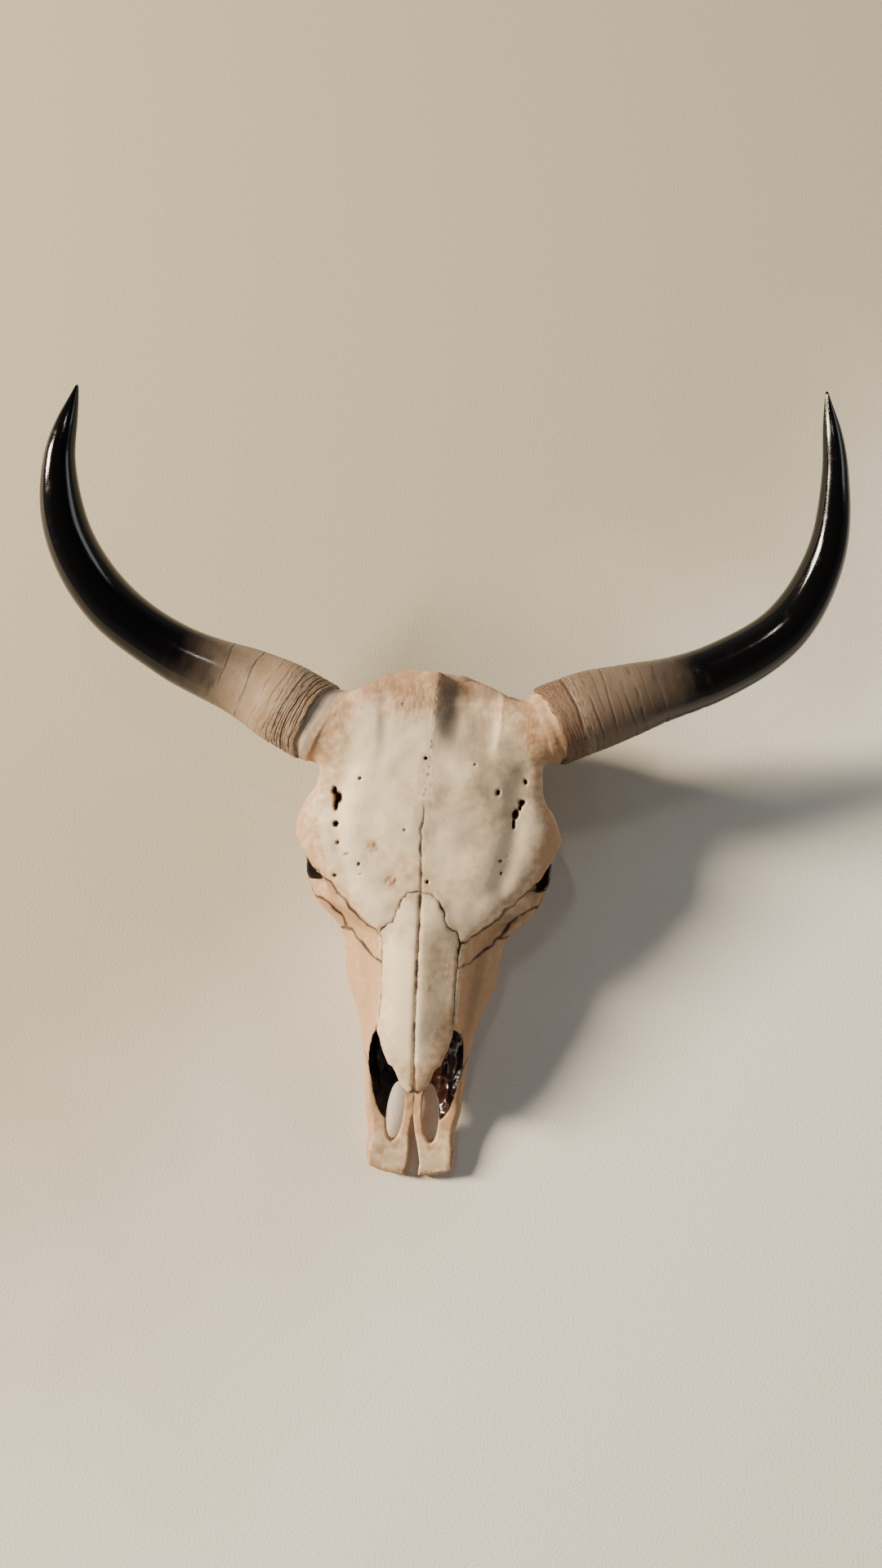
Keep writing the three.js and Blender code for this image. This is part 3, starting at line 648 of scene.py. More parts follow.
RAGGED_T, RAGGED_W = PLAN_T + 0.9 * rough(2.8, 51, (0, 1)), PLAN_W + 0.7 * rough(2.8, 52, (0, 1))
to_right = PLAN_W - drift(PLAN_T)
relief = 1.0 * rough(21, 12, (0, 1)) + 0.5 * rough(9, 13, (0, 1)) * smoothstep(300, 200, PLAN_T)
hole_mask = np.zeros(PLAN_W.shape, np.float32)
relief += groove([(96, -82), (126, -92), (160, -89), (204, -74)], 10, 3.2)
relief += groove([(92, 84), (128, 82), (160, 80), (200, 70)], 10, 3.2)
relief -= groove([(30, -40), (120, -50), (190, -40)], 30, 1.4)
relief -= groove([(30, 40), (120, 50), (190, 40)], 30, 1.4)
relief += groove([(214, -5), (300, -4), (396, -1)], 2.6, 1.2)
relief += groove([(225, -26), (262, -40)], 8, 1.2) + groove([(225, 24), (262, 38)], 8, 1.2)
# At +w the poll falls away from its crest, and the forehead slopes off a little after it.
relief += 6.5 * smoothstep(-2, 18, to_right) * smoothstep(74, 22, to_right) * smoothstep(86, 34, PLAN_T)
relief += 2.2 * smoothstep(-2, 26, to_right) * smoothstep(230, 150, PLAN_T)
# Each nasal bone is rounded, so that the pair stands like a low roof.
relief += 4.4 * smoothstep(0, 32, np.abs(to_right)) * smoothstep(214, 256, PLAN_T)
for t, w, long, across, depth in HOLES:
    spread = ((RAGGED_T - t) / long) ** 2 + ((RAGGED_W - w) / across) ** 2
    relief += depth * np.exp(-(spread**1.5))
    hole_mask = np.maximum(hole_mask, min(1, depth / 5) * np.exp(-((spread * 0.8) ** 2)))
for t, w, radius in SCUFFS:
    torn = smoothstep(-0.2, 0.5, rough(2.2, 57, (0, 1)))
    relief += (0.3 + 1.1 * torn) * np.exp(-(((PLAN_T - t) ** 2 + (PLAN_W - w) ** 2) / radius**2) ** 2)
# The front of the incisive bones: a lip, a hollow behind it and a swelling by each fissure.
relief -= 2.0 * np.exp(-(((PLAN_T - 486) / 6) ** 2)) * smoothstep(6, 16, np.abs(PLAN_W))
for side in (1, -1):
    relief += 3.6 * np.exp(-(((PLAN_T - 471) / 9) ** 2) - ((PLAN_W - side * 27) / 9) ** 2)
    relief -= 1.6 * np.exp(-(((PLAN_T - 463) / 7) ** 2) - ((PLAN_W - side * 12) / 6) ** 2)
    relief -= 1.5 * np.exp(-(((PLAN_W - side * 40) / 4) ** 2)) * smoothstep(440, 460, PLAN_T)
pitted = smoothstep(60, 5, PLAN_T) + smoothstep(70, 100, np.abs(PLAN_W)) * smoothstep(110, 60, PLAN_T)
relief += 0.5 * np.clip(pitted, 0, 1) * np.maximum(rough(3.4, 11, (0, 1)) - 0.25, 0)


def upper_face(t, p):
    """1 on the faces that look up, 0 on the sides and below."""
    low = -46 - 4 * smoothstep(400, 440, t)
    return smoothstep(low, low + 9, p)


skull.field += relief[:, :, None] * upper_face(T, P)
# The dip between the poll and the base of the horn at +w.
dip = 9 * np.exp(-(((PLAN_T - 10) / 12) ** 2) - ((PLAN_W - 76) / 13) ** 2)
skull.field += (dip[:, :, None] * smoothstep(-100, -70, P)).astype(np.float32)

# Relief of the back of the head and of the underside.
BACK_W, BACK_P = W[:, 0, :], P[0, 0, :][None]
back = -4 * np.exp(-((BACK_W / 26) ** 2) - ((BACK_P + 62) / 13) ** 2)
ridge = smoothstep(-100, -75, BACK_P) * smoothstep(-56, -68, BACK_P)
back = back - 2.5 * np.exp(-((BACK_W / 5) ** 2)) * ridge
for side in (1, -1):
    back = back + 4.5 * np.exp(-(((BACK_W - side * 30) / 15) ** 2) - ((BACK_P + 76) / 15) ** 2)
skull.field += (back[:, None, :] * smoothstep(34, 14, T)).astype(np.float32)
under = 6.5 * np.exp(-((PLAN_W / 27) ** 4)) * smoothstep(234, 262, PLAN_T) * smoothstep(404, 372, PLAN_T)
for side in (1, -1):
    beside = np.exp(-(((PLAN_W - side * 30) / 9) ** 2))
    under = under + 7 * beside * smoothstep(60, 84, PLAN_T) * smoothstep(168, 140, PLAN_T)
skull.field += under[:, :, None].astype(np.float32) * smoothstep(-66, -78, P)
skull.field += 0.9 * rough(26, 3) + 0.28 * rough(8, 4)

nose_closed = skull.field.copy()
cavity = nasal_cavity()
skull.cut(cavity, 2)
dark.add(cavity)
scrolls = Solid((slice(0, 1),) * 3, BAND * VOXEL)  # thin rolled bone on the side walls of the nose
for side in (1, -1):
    sunk = 0 if side > 0 else 13  # those of the other side have shrunk away
    scrolls.add(rod(point(296, side * 22, -34 - sunk), point(392, side * 28, -43 - sunk), 9, 4), 3)
    scrolls.add(rod(point(300, side * 14, -22 - sunk), point(370, side * 21, -20 - sunk), 7, 3), 2)
    scrolls.add(rod(point(346, side * 37, -30 - sunk), point(418, side * 34, -42 - sunk), 6, 3), 2)
wrinkled = rough(5.5, 41) + 0.6 * rough(3, 42)
scrolls.field += 2.2 * wrinkled
skull.field = blend(skull.field, scrolls.field, 2)
within_nose = smoothstep(4, 0, np.abs(dark.field)) * smoothstep(288, 310, T) * smoothstep(446, 430, T)
skull.field += (1.3 * within_nose * wrinkled).astype(np.float32)
del scrolls, wrinkled, within_nose
skull.cut(above_nose_rim(), 3)
for side in (1, -1):
    skull.cut(palatine_fissure(side), 2)
skull.cut(muzzle_gap(), 1.5)
teeth = Solid((slice(0, 1),) * 3, BAND * VOXEL)
for side in (1, -1):
    teeth.add(tooth_rows(side))
skull.field = blend(skull.field, teeth.field, 1.2)
skull.field = np.maximum(skull.field, -resting_height(T, P))

# ---------- the seams ----------

jag_t = 1.5 * rough(4.2, 21, (0, 1)) + 0.7 * rough(2.6, 22, (0, 1))
jag_w = 1.5 * rough(4.2, 23, (0, 1)) + 0.7 * rough(2.6, 24, (0, 1))
calm = 1 - 0.75 * smoothstep(258, 275, PLAN_T)
JAG_T, JAG_W = PLAN_T + jag_t * calm, PLAN_W + jag_w * calm


def mirrored(outline):
    return [(t, -w) for t, w in outline]


def plan_block(outline):
    return outline_distance([tuple(map(float, q)) for q in outline], JAG_T, JAG_W)[:, :, None]


def nasal_block():
    stops = [
        209, 211, 216, 223, 232, 240, 247, 256, 278, 300, 326, 345, 363, 371, 376, 378, 384, 391, 396,
        400, 403,
    ]
    sides = [[(t, float(drift(t) + s * nasal_wide(t))) for t in stops] for s in (1, -1)]
    tips = [(NASAL_TIP_T - 1, 1.5), (NASAL_TIP_T - 14, 0), (NASAL_TIP_T - 1, -1.5)]
    outline = [(NASION_T - 1, float(drift(NASION_T)))] + sides[0] + tips + sides[1][::-1]
    bed = crown(T) - NASAL_THICK * np.where(T > 350, 0.7, 1) - 4
    return np.maximum(plan_block(outline), bed - P)


def frontal_block():
    plan = [(-60, 150)] + FRONTAL_SEAM
    plan = plan + mirrored(plan)[::-1]
    slab = plan_block(plan)
    out = 72 - np.abs(W)
    seats = np.maximum(np.maximum(out, T - 100), -78 - P)
    rims = np.maximum(np.maximum(out, np.abs(T - 132) - 33), -60 - P)
    brows = np.maximum(np.maximum(out, slab), np.maximum(99 - T, -44 - P))
    return np.minimum(np.minimum(np.maximum(slab, -34 - P), seats), np.minimum(rims, brows))


def lacrimal_block(side):
    plan = [(180, 30), (180, 150)] + LACRIMAL_SEAM
    return np.maximum(plan_block(plan if side > 0 else mirrored(plan)), -66 - P)


def zygomatic_block(side):
    """Behind a seam that runs slantwise down and back from the lacrimal bone."""
    side_t, side_p = (axis[0] + 0 * other[0] for axis, other in ((T, P), (P, T)))
    jag = 1.4 * rough(4.5, 61 + side, (1, 2))
    outline = outline_distance(ZYGOMATIC_SIDE, side_t + jag, side_p - jag)[None]
    return np.maximum(73 - side * W, outline)


def incisive_block():
    back = [(398, 38), (372, 54), (368, 70)]
    return plan_block(back + [(520, 70), (520, -70)] + mirrored(back)[::-1]) + 0 * P


def occipital_block():
    wave = 1.5 * rough(5, 31, (0, 2))[:, None, :]
    return np.minimum(T - 24 + wave, np.maximum(P + 92 + wave, T - 106))


def temporal_block(side):
    return np.maximum(40 - side * W, T - 160) + 0 * P


def skull_base_block():
    return np.minimum(np.maximum(np.abs(W) - 34, T - 226), np.maximum(np.abs(W) - 60, T - 190)) + 0 * P


def half_of(side, centre):
    return -side * (W - centre)


drifted = (drift(T) + jag_w[:, :, None] * (0.25 + 0.75 * smoothstep(205, 150, T)) * 0.8).astype(np.float32)
straight = 0 * T
SIDES = {1: "left", -1: "right"}
BLOCKS = [("nasal", nasal_block, drifted), ("frontal", frontal_block, drifted)]
for side, word in SIDES.items():
    BLOCKS.append((f"lacrimal_{word}", lambda s=side: lacrimal_block(s), None))
for side, word in SIDES.items():
    BLOCKS.append((f"zygomatic_{word}", lambda s=side: zygomatic_block(s), None))
BLOCKS.append(("incisive", incisive_block, straight))
BLOCKS.append(("occipital", occipital_block, None))
for side, word in SIDES.items():
    BLOCKS.append((f"temporal_{word}", lambda s=side: temporal_block(s), None))
BLOCKS.append(("skull_base", skull_base_block, None))
BLOCKS.append(("maxilla", None, straight))

regions = {}
taken = np.full(COUNT, 1e3, np.float32)
for name, block, halves in BLOCKS:
    own = (
        np.full(COUNT, -1e3, np.float32) if block is None
        else np.broadcast_to(block(), COUNT).astype(np.float32)
    )
    region = np.maximum(own, -taken)
    taken = np.minimum(taken, own)
    if halves is None:
        regions[name] = region
    else:
        for side, word in SIDES.items():
            regions[f"{name}_{word}"] = np.maximum(region, half_of(side, halves))

# An open groove along the seams that haven't grown together.
nearest = np.full(COUNT, 1e3, np.float32)
for region in regions.values():
    np.minimum(nearest, region, out=nearest)


def open_seam(t, p):
    """1 where the seams gape, 0 where they have grown together."""
    return smoothstep(118, 150, t) * (1 - 0.6 * smoothstep(-50, -80, p)) * (1 - 0.6 * smoothstep(300, 360, t))


furrow = (0.9 * open_seam(T, P) * np.exp(-((nearest / 1.3) ** 2))).astype(np.float32)
skull.field += furrow
nose_closed += furrow
del furrow, nearest

# ---------- from fields to meshes ----------

TUCK = 1.4 * VOXEL  # how far a bone runs on under its neighbour, out of sight
SINK = 0.3  # how deep it lies there


def sampled(field, points):
    """Values of a field at points, by trilinear weights."""
    place = points / VOXEL - FIRST
    place = np.clip(place, 0, np.array(field.shape) - 1.001)
    i = place.astype(int)
    u = place - i
    total = np.zeros(len(points), np.float32)
    for corner in np.ndindex(2, 2, 2):
        weight = np.prod([u[:, k] if corner[k] else 1 - u[:, k] for k in range(3)], axis=0)
        total += weight * field[i[:, 0] + corner[0], i[:, 1] + corner[1], i[:, 2] + corner[2]]
    return total


def surface(whole, region):
    """Points and quads of the one closed body that a region holds of a field."""
    held = (region < TUCK) & (whole < 0)
    spans = []
    for axis in range(3):
        hit = np.flatnonzero(held.any(axis=tuple(k for k in range(3) if k != axis)))
        spans.append(slice(max(hit[0] - 4, 0), min(hit[-1] + 5, COUNT[axis])))
    own = region[tuple(spans)]
    field = np.maximum(whole[tuple(spans)] + SINK * smoothstep(0, VOXEL, own), own - TUCK)
    field = np.ascontiguousarray(np.clip(field, -3 * VOXEL, 3 * VOXEL), np.float32)
    grid = vdb.FloatGrid(3 * VOXEL)
    grid.gridClass = vdb.GridClass.LEVEL_SET
    grid.transform = vdb.createLinearTransform(voxelSize=VOXEL)
    grid.copyFromArray(field, ijk=tuple(int(FIRST[i] + spans[i].start) for i in range(3)), tolerance=0.0)
    points, quads = grid.convertToQuads(0.0)
    return biggest_body(points.astype(float), quads.astype(int))


def biggest_body(points, quads):
    label = np.arange(len(points))
    while True:
        low = label[quads].min(axis=1)
        new = label.copy()
        np.minimum.at(new, quads.ravel(), np.repeat(low, 4))
        new = new[new]
        if (new == label).all():
            break
        label = new
    body, size = np.unique(label[quads[:, 0]], return_counts=True)
    quads = quads[label[quads[:, 0]] == body[size.argmax()]]
    used = np.unique(quads)
    renumber = np.zeros(len(points), int)
    renumber[used] = np.arange(len(used))
    points, quads = points[used], renumber[quads]
    a, b, c = (points[quads[:, i]] for i in range(3))
    if np.einsum("ij,ij->i", a, np.cross(b, c)).sum() < 0:
        quads = quads[:, ::-1]
    return points, quads


def new_piece(name, points, faces, attributes, material, node):
    """A mesh object from skull frame points, standing in for a node of the solids."""
    rest = points @ np.array(TO_REST.to_3x3()).T + np.array(TO_REST.translation)
    corners = np.concatenate([part.ravel() for part in faces])
    sizes = np.concatenate([np.full(len(part), part.shape[1]) for part in faces])
    starts = np.concatenate([[0], np.cumsum(sizes)[:-1]])
    mesh = bpy.data.meshes.new(name)
    mesh.vertices.add(len(rest))
    mesh.vertices.foreach_set("co", rest.astype(np.float32).ravel())
    mesh.loops.add(len(corners))
    mesh.loops.foreach_set("vertex_index", corners.astype(np.int32))
    mesh.polygons.add(len(sizes))
    mesh.polygons.foreach_set("loop_start", starts.astype(np.int32))
    mesh.update(calc_edges=True)
    mesh.shade_smooth()
    for key, values in attributes.items():
        layer = mesh.attributes.new(key, "FLOAT", "POINT")
        layer.data.foreach_set("value", values.astype(np.float32))
    mesh.materials.append(material)
    obj = bpy.data.objects.new(name, mesh)
    bpy.context.scene.collection.objects.link(obj)
    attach(obj, "root")
    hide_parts(node)


# ---------- materials ----------

class Paint:
    """Puts nodes into a tree; each call gives back an output that other calls can take."""

    def __init__(self, tree):
        self.tree = tree

    def node(self, kind, inputs=(), **settings):
        node = self.tree.nodes.new(kind)
        for key, value in settings.items():  # a group's tree comes first, as its inputs come from it
            setattr(node, key, value)
        for key, value in dict(inputs).items():
            if isinstance(value, bpy.types.NodeSocket):
                self.tree.links.new(value, node.inputs[key])
            else:
                node.inputs[key].default_value = value
        return node

    def attribute(self, name):
        return self.node("ShaderNodeAttribute", attribute_name=name).outputs["Fac"]

    def maths(self, operation, *values):
        return self.node("ShaderNodeMath", dict(enumerate(values)), operation=operation).outputs[0]

    def times(self, *values):
        total = values[0]
        for value in values[1:]:
            total = self.maths("MULTIPLY", total, value)
        return total

    def plus(self, *values):
        total = values[0]
        for value in values[1:]:
            total = self.maths("ADD", total, value)
        return total

    def swing(self, value, width):
        """Turns a value of 0 to 1 into one that swings over width, half of it below zero."""
        return self.times(self.plus(value, -0.5), width)

    def step(self, value, low, high, bottom=0.0, top=1.0):
        """Runs smoothly from bottom to top as the value runs from low to high."""
        inputs = {"Value": value, "From Min": low, "From Max": high, "To Min": bottom, "To Max": top}
        return self.node("ShaderNodeMapRange", inputs, interpolation_type="SMOOTHSTEP").outputs["Result"]

    def noise(self, place, size, detail=2.0, roughness=0.5, distortion=0.0):
        """Cloudy noise, its features about size millimetres."""
        inputs = {"Vector": place, "Scale": 1000 / size, "Detail": detail, "Roughness": roughness,
                  "Distortion": distortion}
        return self.node("ShaderNodeTexNoise", inputs).outputs["Fac"]

    def stretched(self, place, scale):
        return self.node("ShaderNodeVectorMath", {0: place, 1: scale}, operation="MULTIPLY").outputs[0]

    def mix(self, share, a, b):
        return self.node("ShaderNodeMix", {0: share, 6: a, 7: b}, data_type="RGBA").outputs[2]

    def bump(self, height, depth, normal=None):
        """Normal of a relief whose height runs from 0 to 1 over depth millimetres."""
        inputs = {"Height": height, "Distance": depth * MM, "Strength": 1.0}
        if normal is not None:
            inputs["Normal"] = normal
        return self.node("ShaderNodeBump", inputs).outputs["Normal"]


def effect(name, inputs, outputs):
    """A node group for several materials: its paint, its inputs by name and its output node."""
    tree = bpy.data.node_groups.new(name, "ShaderNodeTree")
    for kind, key, value in inputs:
        socket = tree.interface.new_socket(key, in_out="INPUT", socket_type=kind)
        if value is not None:
            socket.default_value = value
    for kind, key in outputs:
        tree.interface.new_socket(key, in_out="OUTPUT", socket_type=kind)
    return tree, Paint(tree), tree.nodes.new("NodeGroupInput").outputs, tree.nodes.new("NodeGroupOutput")


def material(name, **uniform):
    made = bpy.data.materials.new(name)
    made.use_nodes = True
    tree = made.node_tree
    tree.nodes.clear()
    out = tree.nodes.new("ShaderNodeOutputMaterial")
    shader = tree.nodes.new("ShaderNodeBsdfPrincipled")
    tree.links.new(shader.outputs[0], out.inputs[0])
    for key, value in uniform.items():
        shader.inputs[key.replace("_", " ")].default_value = value
    return made, Paint(tree), shader


def finish(paint, shader, **inputs):
    for key, value in inputs.items():
        paint.tree.links.new(value, shader.inputs[key.replace("_", " ")])


# Fine pores and hair cracks, for bone and for the rough root of a horn.
PORES, paint, given, gives = effect(
    "pores_and_cracks",
    [
        ("NodeSocketVector", "Place", None), ("NodeSocketFloat", "Pore size", 1.6),
        ("NodeSocketFloat", "Share", 0.3),
    ],
    [("NodeSocketFloat", "Pores"), ("NodeSocketFloat", "Cracks")],
)
pore_scale = paint.maths("DIVIDE", 1000, given["Pore size"])
scatter = paint.node("ShaderNodeTexVoronoi", {"Vector": given["Place"], "Scale": pore_scale})
lot = paint.node("ShaderNodeSeparateColor", {0: scatter.outputs["Color"]}).outputs[0]
chosen = paint.maths("LESS_THAN", lot, given["Share"])
pores = paint.times(paint.step(scatter.outputs["Distance"], 0.34, 0.12), chosen)
bent = paint.node("ShaderNodeTexNoise", {"Vector": given["Place"], "Scale": 60, "Detail": 3.0})
bent = paint.node(
    "ShaderNodeVectorMath", {0: bent.outputs["Color"], 1: (0.012, 0.012, 0.012)}, operation="MULTIPLY"
)
bent = paint.node("ShaderNodeVectorMath", {0: given["Place"], 1: bent.outputs[0]}, operation="ADD")
edges = paint.node(
    "ShaderNodeTexVoronoi", {"Vector": bent.outputs[0], "Scale": 70}, feature="DISTANCE_TO_EDGE"
)
broken = paint.step(paint.noise(given["Place"], 14, 2.0), 0.52, 0.62)
cracks = paint.times(paint.step(edges.outputs["Distance"], 0.03, 0.008), broken)
paint.tree.links.new(pores, gives.inputs["Pores"])
paint.tree.links.new(cracks, gives.inputs["Cracks"])

# Uneven tone: broad clouds with a finer mottle in them, both from 0 to 1.
CLOUDS, paint, given, gives = effect(
    "clouded_tone",
    [
        ("NodeSocketVector", "Place", None), ("NodeSocketFloat", "Broad", 60.0),
        ("NodeSocketFloat", "Fine", 9.0),
    ],
    [("NodeSocketFloat", "Broad tone"), ("NodeSocketFloat", "Mottle")],
)
for key, size, detail in (("Broad tone", "Broad", 3.0), ("Mottle", "Fine", 5.0)):
    scale = paint.maths("DIVIDE", 1000, given[size])
    cloud = paint.node("ShaderNodeTexNoise", {"Vector": given["Place"], "Scale": scale, "Detail": detail})
    paint.tree.links.new(paint.step(cloud.outputs["Fac"], 0.3, 0.7), gives.inputs[key])


def placed(paint, tree, inputs):
    return paint.node("ShaderNodeGroup", node_tree=tree, inputs=inputs).outputs


PALE = (0.86, 0.70, 0.475, 1)
GREY = (0.61, 0.50, 0.375, 1)
PAINTED_SHADE_TINT = (0.125, 0.092, 0.066, 1)
TAN = (0.46, 0.262, 0.135, 1)
BROWN = (0.19, 0.088, 0.036, 1)
SEAM_DARK = (0.042, 0.016, 0.008, 1)
LINING = (0.0035, 0.0011, 0.001, 1)
LINING_RED = (0.035, 0.0075, 0.004, 1)
COLLAR = (0.40, 0.34, 0.28, 1)
ENAMEL = (0.72, 0.63, 0.48, 1)


def dry_bone():
    made, paint, shader = material("dry_bone", Specular_IOR_Level=0.36)
    place = paint.node("ShaderNodeTexCoord").outputs["Object"]
    tone = placed(paint, CLOUDS, {"Place": place, "Broad": 38.0, "Fine": 7.0})
    pitted = placed(paint, PORES, {"Place": place, "Pore size": 2.3, "Share": 0.16})
    grain = paint.noise(paint.stretched(place, (1, 0.3, 1)), 1.3, 4.0)
    scratch = paint.noise(paint.stretched(place, (1, 0.10, 1)), 2.0, 3.0)
    stain, warm = paint.attribute("stain"), paint.attribute("warm")
    colour = paint.mix(paint.times(tone["Broad tone"], 0.6), PALE, GREY)
    warmth = paint.plus(warm, paint.swing(tone["Mottle"], 0.4),
                        paint.step(paint.noise(place, 70, 3.0), 0.46, 0.66, 0, 0.45))
    colour = paint.mix(paint.step(warmth, 0.05, 1.05, 0, 0.92), colour, TAN)
    # Painted shade: grey brown darkening where shade falls, mostly on the +w half, with a little random
    # variation.
    painted_shade = paint.plus(paint.attribute("painted_shade"), paint.swing(tone["Broad tone"], 0.18))
    colour = paint.mix(paint.step(painted_shade, 0.04, 1.0, 0, 0.85), colour, PAINTED_SHADE_TINT)
    # Weathered bone: short torn streaks, brown where they lie deep.
    slanted = paint.node("ShaderNodeMapping", {0: place, 2: (0, 0, math.radians(-35)), 3: (1, 0.3, 1)})
    torn = paint.noise(slanted.outputs[0], 3.2, 5.0, 0.62)
    patchy = paint.times(stain, paint.step(torn, 0.42, 0.56))
    colour = paint.mix(paint.step(stain, 0.25, 1.0, 0, 0.7), colour, TAN)
    colour = paint.mix(paint.times(patchy, 0.7), colour, BROWN)
    pores = paint.times(pitted["Pores"], paint.step(stain, 0.1, 0.6, 0.10, 0.7))
    colour = paint.mix(paint.times(pores, 0.75), colour, BROWN)
    cracks = paint.times(pitted["Cracks"], paint.step(warm, 0.3, 0.9, 0.03, 0.30))
    colour = paint.mix(cracks, colour, BROWN)
    colour = paint.mix(paint.times(paint.step(scratch, 0.60, 0.72), 0.12), colour, BROWN)
    specks = paint.step(paint.noise(place, 1.9, 2.0), 0.68, 0.74)
    colour = paint.mix(paint.times(specks, 0.22), colour, BROWN)
    collar = paint.attribute("collar")
    colour = paint.mix(paint.times(collar, 0.8), colour, COLLAR)
    tooth = paint.attribute("tooth")
    streak = paint.noise(paint.stretched(place, (1, 1, 0.2)), 3.0, 4.0)
    enamel = paint.mix(paint.step(streak, 0.45, 0.65, 0, 0.6), ENAMEL, BROWN)
    colour = paint.mix(tooth, colour, enamel)
    gape = paint.attribute("gape")
    seam = paint.plus(paint.attribute("seam"), paint.swing(paint.noise(place, 2.2, 3.0), 1.3))
    uneven = paint.step(paint.noise(place, 16, 3.0), 0.38, 0.62)
    halo = paint.times(paint.step(seam, 4.6, 0.3), gape, paint.plus(0.16, paint.times(uneven, 0.36)))
    wider = paint.plus(seam, paint.times(uneven, -0.5), paint.times(paint.attribute("wide"), -0.7))
    line = paint.times(paint.step(wider, 0.85, 0.15), paint.step(gape, 0.0, 0.5),
                       paint.plus(0.7, paint.times(uneven, 0.3)))
    dotted = paint.times(paint.attribute("fused"), paint.step(seam, 1.6, 0.5),
                         paint.step(paint.noise(place, 5.0, 2.0), 0.50, 0.62))
    colour = paint.mix(halo, colour, BROWN)
    colour = paint.mix(paint.maths("MAXIMUM", line, paint.times(dotted, 0.6)), colour, SEAM_DARK)
    pit = paint.attribute("pit")
    colour = paint.mix(paint.step(pit, 0.02, 0.5, 0, 0.7), colour, BROWN)
    colour = paint.mix(paint.step(pit, 0.35, 0.75), colour, SEAM_DARK)
    hollow = paint.step(paint.plus(paint.attribute("hollow"), paint.swing(tone["Mottle"], 0.3)),
                        0.35, 0.75)
    # Cavity lining: red brown mottle and gloss at +w; at -w it stays near black, painted shade where the
    # light doesn't reach.
    lining_lit_side = paint.attribute("lining_lit_side")
    colour = paint.mix(hollow, colour, paint.mix(paint.times(tone["Mottle"], lining_lit_side), LINING, LINING_RED))
    rough_skin = paint.plus(0.5, paint.times(tone["Mottle"], 0.14), paint.times(grain, 0.08))
    roughness = paint.step(hollow, 0, 1, rough_skin, paint.step(lining_lit_side, 0, 1, 0.6, 0.24))
    roughness = paint.step(tooth, 0, 1, roughness, 0.3)
    roughness = paint.step(collar, 0, 1, roughness, 0.34)
    weathered = paint.step(paint.plus(stain, paint.times(warm, 0.35)), 0.05, 0.9, 0.25, 1.3)
    height = paint.plus(paint.times(grain, 0.34), paint.times(tone["Mottle"], 0.25), paint.times(pores, -0.9),
                        paint.times(cracks, -0.7), paint.times(torn, weathered), paint.times(patchy, -0.4))
    finish(paint, shader, Base_Color=colour, Roughness=roughness, Normal=paint.bump(height, 0.24),
           Coat_Weight=paint.times(hollow, lining_lit_side, 0.5))
    return made


HORN_TAN = (0.42, 0.28, 0.17, 1)
HORN_PALE = (0.50, 0.40, 0.30, 1)
HORN_BAND = (0.165, 0.092, 0.048, 1)
HORN_LINE = (0.075, 0.028, 0.011, 1)
HORN_SMOKE_AND_SHADE = (0.060, 0.046, 0.036, 1)
HORN_BLACK = (0.0020, 0.0019, 0.0022, 1)


def polished_horn():
    made, paint, shader = material("polished_horn", IOR=1.36, Coat_Roughness=0.06)
    place = paint.node("ShaderNodeTexCoord").outputs["Object"]
    reach = paint.attribute("reach")
    turn_x, turn_y = paint.attribute("turn_x"), paint.attribute("turn_y")
    rings = paint.node("ShaderNodeCombineXYZ", {0: reach, 1: paint.times(turn_x, 7),
                                                2: paint.times(turn_y, 7)})
    strands = paint.node("ShaderNodeCombineXYZ", {0: paint.times(reach, 0.03), 1: paint.times(turn_x, 30),
                                                  2: paint.times(turn_y, 30)})
    fibre = paint.noise(rings.outputs[0], 1000 / 0.9, 5.0, 0.6)
    streaks = paint.noise(rings.outputs[0], 1000 / 0.11, 4.0, 0.6)
    lengthways = paint.noise(strands.outputs[0], 1000 / 0.5, 4.0)
    tone = placed(paint, CLOUDS, {"Place": place, "Broad": 40.0, "Fine": 7.0})
    pitted = placed(paint, PORES, {"Place": place, "Pore size": 1.3, "Share": 0.25})
    drifting = paint.plus(reach, paint.swing(tone["Broad tone"], 12),
                          paint.swing(streaks, 34))
    colour = paint.mix(paint.step(streaks, 0.36, 0.68), HORN_TAN, HORN_PALE)
    colour = paint.mix(paint.times(paint.step(streaks, 0.54, 0.70), 0.5), colour, HORN_LINE)
    near_root = paint.step(reach, 60, 25)
    colour = paint.mix(paint.times(paint.attribute("band"), 0.8), colour, HORN_BAND)
    threads = paint.times(paint.step(fibre, 0.46, 0.62), paint.plus(0.14, paint.times(near_root, 0.6)))
    colour = paint.mix(threads, colour, HORN_LINE)
    colour = paint.mix(paint.attribute("ring"), colour, HORN_LINE)
    colour = paint.mix(paint.times(pitted["Cracks"], paint.step(reach, 120, 60, 0, 0.25)), colour, HORN_LINE)
    # Painted shade, darkening the +1 horn most.
    colour = paint.mix(paint.attribute("horn_painted_shade"), colour, HORN_SMOKE_AND_SHADE)
    colour = paint.mix(paint.step(drifting, 54, 128, 0, 0.94), colour, HORN_SMOKE_AND_SHADE)
    colour = paint.mix(paint.step(drifting, 104, 160), colour, HORN_BLACK)
    dull = paint.plus(0.46, paint.times(fibre, 0.2))
    scuffed = paint.step(paint.noise(place, 16, 5.0), 0.52, 0.70)
    gloss = paint.plus(0.07, paint.times(scuffed, 0.13), paint.times(lengthways, 0.05))
    roughness = paint.step(drifting, 60, 150, dull, gloss)
    height = paint.plus(paint.times(fibre, paint.step(reach, 70, 25, 0.05, 0.6)),
                        paint.times(lengthways, 0.14),
                        paint.times(streaks, paint.step(reach, 180, 60, 0.03, 0.3)))
    finish(paint, shader, Base_Color=colour, Roughness=roughness, Normal=paint.bump(height, 0.5),
           Coat_Weight=paint.step(drifting, 90, 170, 0, 0.12))
    return made


# ---------- bones ----------

